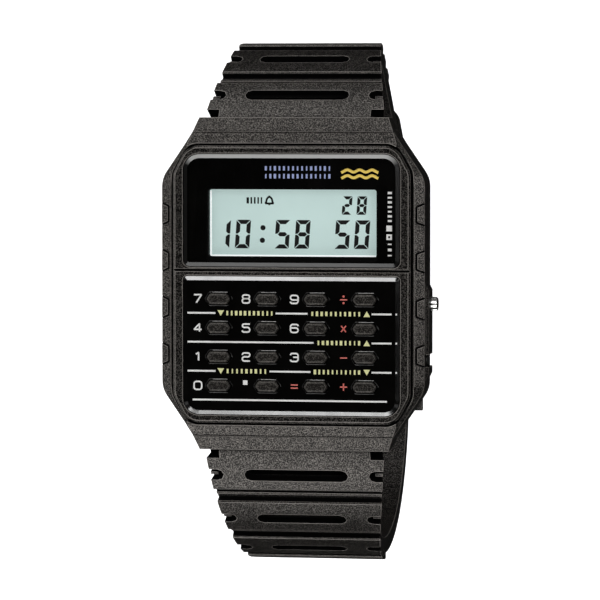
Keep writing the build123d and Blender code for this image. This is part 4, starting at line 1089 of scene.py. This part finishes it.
class WATCH_OT_metal(bpy.types.Operator):
    """Give the buttons, bars, tongue, back and screws their metals"""
    bl_idname = "watch.metal"
    bl_label = "Metal parts"

    def execute(self, context):
        dress(metal("Chrome_Button", (0.78, 0.78, 0.77), 0.16), "mode_button", "adjust_button")
        dress(metal("Case_Back_Steel", (0.56, 0.56, 0.55), 0.3), "case_back")
        dress(metal("Screw_Steel", (0.5, 0.5, 0.49), 0.25, 0.3 * MM), "case_back_screws")
        dress(metal("Bar_Steel", (0.6, 0.6, 0.58), 0.28),
              "spring_bar_12", "spring_bar_6", "buckle_bar", "buckle_tongue",
              "mode_button_clip", "adjust_button_clip",
              "mode_button_spring", "adjust_button_spring")
        pressed_spring("mode_button")
        pressed_spring("adjust_button")
        return {"FINISHED"}


class WATCH_OT_module(bpy.types.Operator):
    """Give the hidden module's pieces their plastics, rubbers and metals"""
    bl_idname = "watch.module"
    bl_label = "Module inside"

    def execute(self, context):
        dress(moulded("Key_Mat_Rubber", (0.2, 0.2, 0.19), 0.7), "key_mat", "lcd_contact_strips")
        dress(moulded("Seal_Rubber", (0.02, 0.02, 0.02), 0.6),
              "case_back_gasket", "mode_button_seal", "adjust_button_seal")
        dress(board_finish(), "circuit_board")
        dress(moulded("Chip_Resin", (0.012, 0.012, 0.013), 0.35, 0.1 * MM), "processor_chip")
        dress(moulded("Module_Frame_Plastic", (0.5, 0.5, 0.46), 0.55), "module_frame")
        dress(moulded("Insulating_Film", (0.6, 0.42, 0.05), 0.3, 1 * MM), "battery_insulator")
        dress(moulded("Capacitor_Ceramic", (0.45, 0.35, 0.22), 0.5, 0.1 * MM),
              "board_components")
        dress(metal("Winding_Copper", (0.7, 0.3, 0.12), 0.3, 0.1 * MM), "booster_coil")
        dress(metal("Cell_Steel", (0.66, 0.66, 0.65), 0.2),
              "battery", "battery_clip", "quartz_crystal")
        dress(metal("Sounder_Brass", (0.72, 0.5, 0.2), 0.3),
              "piezo_disc", "piezo_spring", "button_contacts")
        return {"FINISHED"}


def soft_box(name, place, size, watts):
    """A rectangular light that faces the watch."""
    light = bpy.data.lights.new(name, "AREA")
    light.shape = "RECTANGLE"
    light.size, light.size_y = size
    light.energy = watts
    item = bpy.data.objects.new(name, light)
    item.location = place
    item.rotation_euler = (-Vector(place)).to_track_quat("-Z", "Y").to_euler()
    bpy.context.scene.collection.objects.link(item)


def surroundings(scene):
    """Pale to the eye and dim to the watch, so the gloss panels stay black."""
    world = bpy.data.worlds.new("surroundings")
    world.use_nodes = True
    scene.world = world
    tree = world.node_tree
    tree.nodes.clear()
    seen = add(tree, "ShaderNodeLightPath", {}, {}).outputs["Is Camera Ray"]
    dim, pale = [
        add(tree, "ShaderNodeBackground", {}, {"Color": (1, 1, 1, 1), "Strength": strength})
        for strength in (STRENGTH_TO_WATCH, STRENGTH_TO_EYE)]
    mixed = add(tree, "ShaderNodeMixShader", {}, {
        0: seen, 1: dim.outputs["Background"], 2: pale.outputs["Background"]})
    add(tree, "ShaderNodeOutputWorld", {}, {"Surface": mixed.outputs["Shader"]})


class WATCH_OT_stage(bpy.types.Operator):
    """Add the floor, the soft boxes, the surroundings and the camera"""
    bl_idname = "watch.stage"
    bl_label = "Stage"

    def execute(self, context):
        look = context.scene.watch_stage
        floor_level = cad_box[0][2]
        sheet = [rectangle(0, 0, FLOOR_SIZE, FLOOR_SIZE)]
        floor = prisms(
            "floor", sheet, floor_level - FLOOR_THICKNESS, floor_level, floor_finish())
        floor.visible_diffuse = False
        floor.visible_glossy = False
        for name, place, size, setting in SOFT_BOXES:
            soft_box(name, place, size, getattr(look, setting))
        surroundings(context.scene)
        lens = bpy.data.cameras.new("camera")
        lens.lens = look.lens
        lens.sensor_width = 36
        lens.clip_start = 0.01
        camera = bpy.data.objects.new("camera", lens)
        context.scene.collection.objects.link(camera)
        camera.matrix_world = Matrix(CAMERA_ROWS)
        context.scene.camera = camera
        context.scene.view_settings.view_transform = "Standard"
        return {"FINISHED"}


# Panel and registration

OPERATORS = (
    WATCH_OT_case, WATCH_OT_case_lines, WATCH_OT_strap, WATCH_OT_panels, WATCH_OT_lens,
    WATCH_OT_keys, WATCH_OT_key_labels, WATCH_OT_rules, WATCH_OT_window_print,
    WATCH_OT_display, WATCH_OT_metal, WATCH_OT_module, WATCH_OT_stage,
)
GROUPS = (
    ("watch_print", WatchPrint), ("watch_display", WatchDisplay),
    ("watch_finish", WatchFinish), ("watch_stage", WatchStage),
)


class WATCH_PT_sidebar(bpy.types.Panel):
    """Sizes, colours and steps of the watch"""
    bl_idname = "WATCH_PT_sidebar"
    bl_label = "Calculator Watch"
    bl_space_type = "VIEW_3D"
    bl_region_type = "UI"
    bl_category = "Watch"

    def draw(self, context):
        for name, group in GROUPS:
            box = self.layout.box()
            box.label(text=group.__doc__)
            for prop in group.__annotations__:
                box.prop(getattr(context.scene, name), prop)
        for operator in OPERATORS:
            self.layout.operator(operator.bl_idname)


def register():
    for name, group in GROUPS:
        bpy.utils.register_class(group)
        setattr(bpy.types.Scene, name, PointerProperty(type=group))
    for item in (*OPERATORS, WATCH_PT_sidebar):
        bpy.utils.register_class(item)


def unregister():
    for item in (WATCH_PT_sidebar, *reversed(OPERATORS)):
        bpy.utils.unregister_class(item)
    for name, group in reversed(GROUPS):
        delattr(bpy.types.Scene, name)
        bpy.utils.unregister_class(group)


def main():
    register()
    bpy.ops.watch.case()
    bpy.ops.watch.case_lines()
    bpy.ops.watch.strap()
    bpy.ops.watch.panels()
    bpy.ops.watch.lens()
    bpy.ops.watch.keys()
    bpy.ops.watch.key_labels()
    bpy.ops.watch.rules()
    bpy.ops.watch.window_print()
    bpy.ops.watch.display()
    bpy.ops.watch.metal()
    bpy.ops.watch.module()
    bpy.ops.watch.stage()


if __name__ == "__main__":
    main()
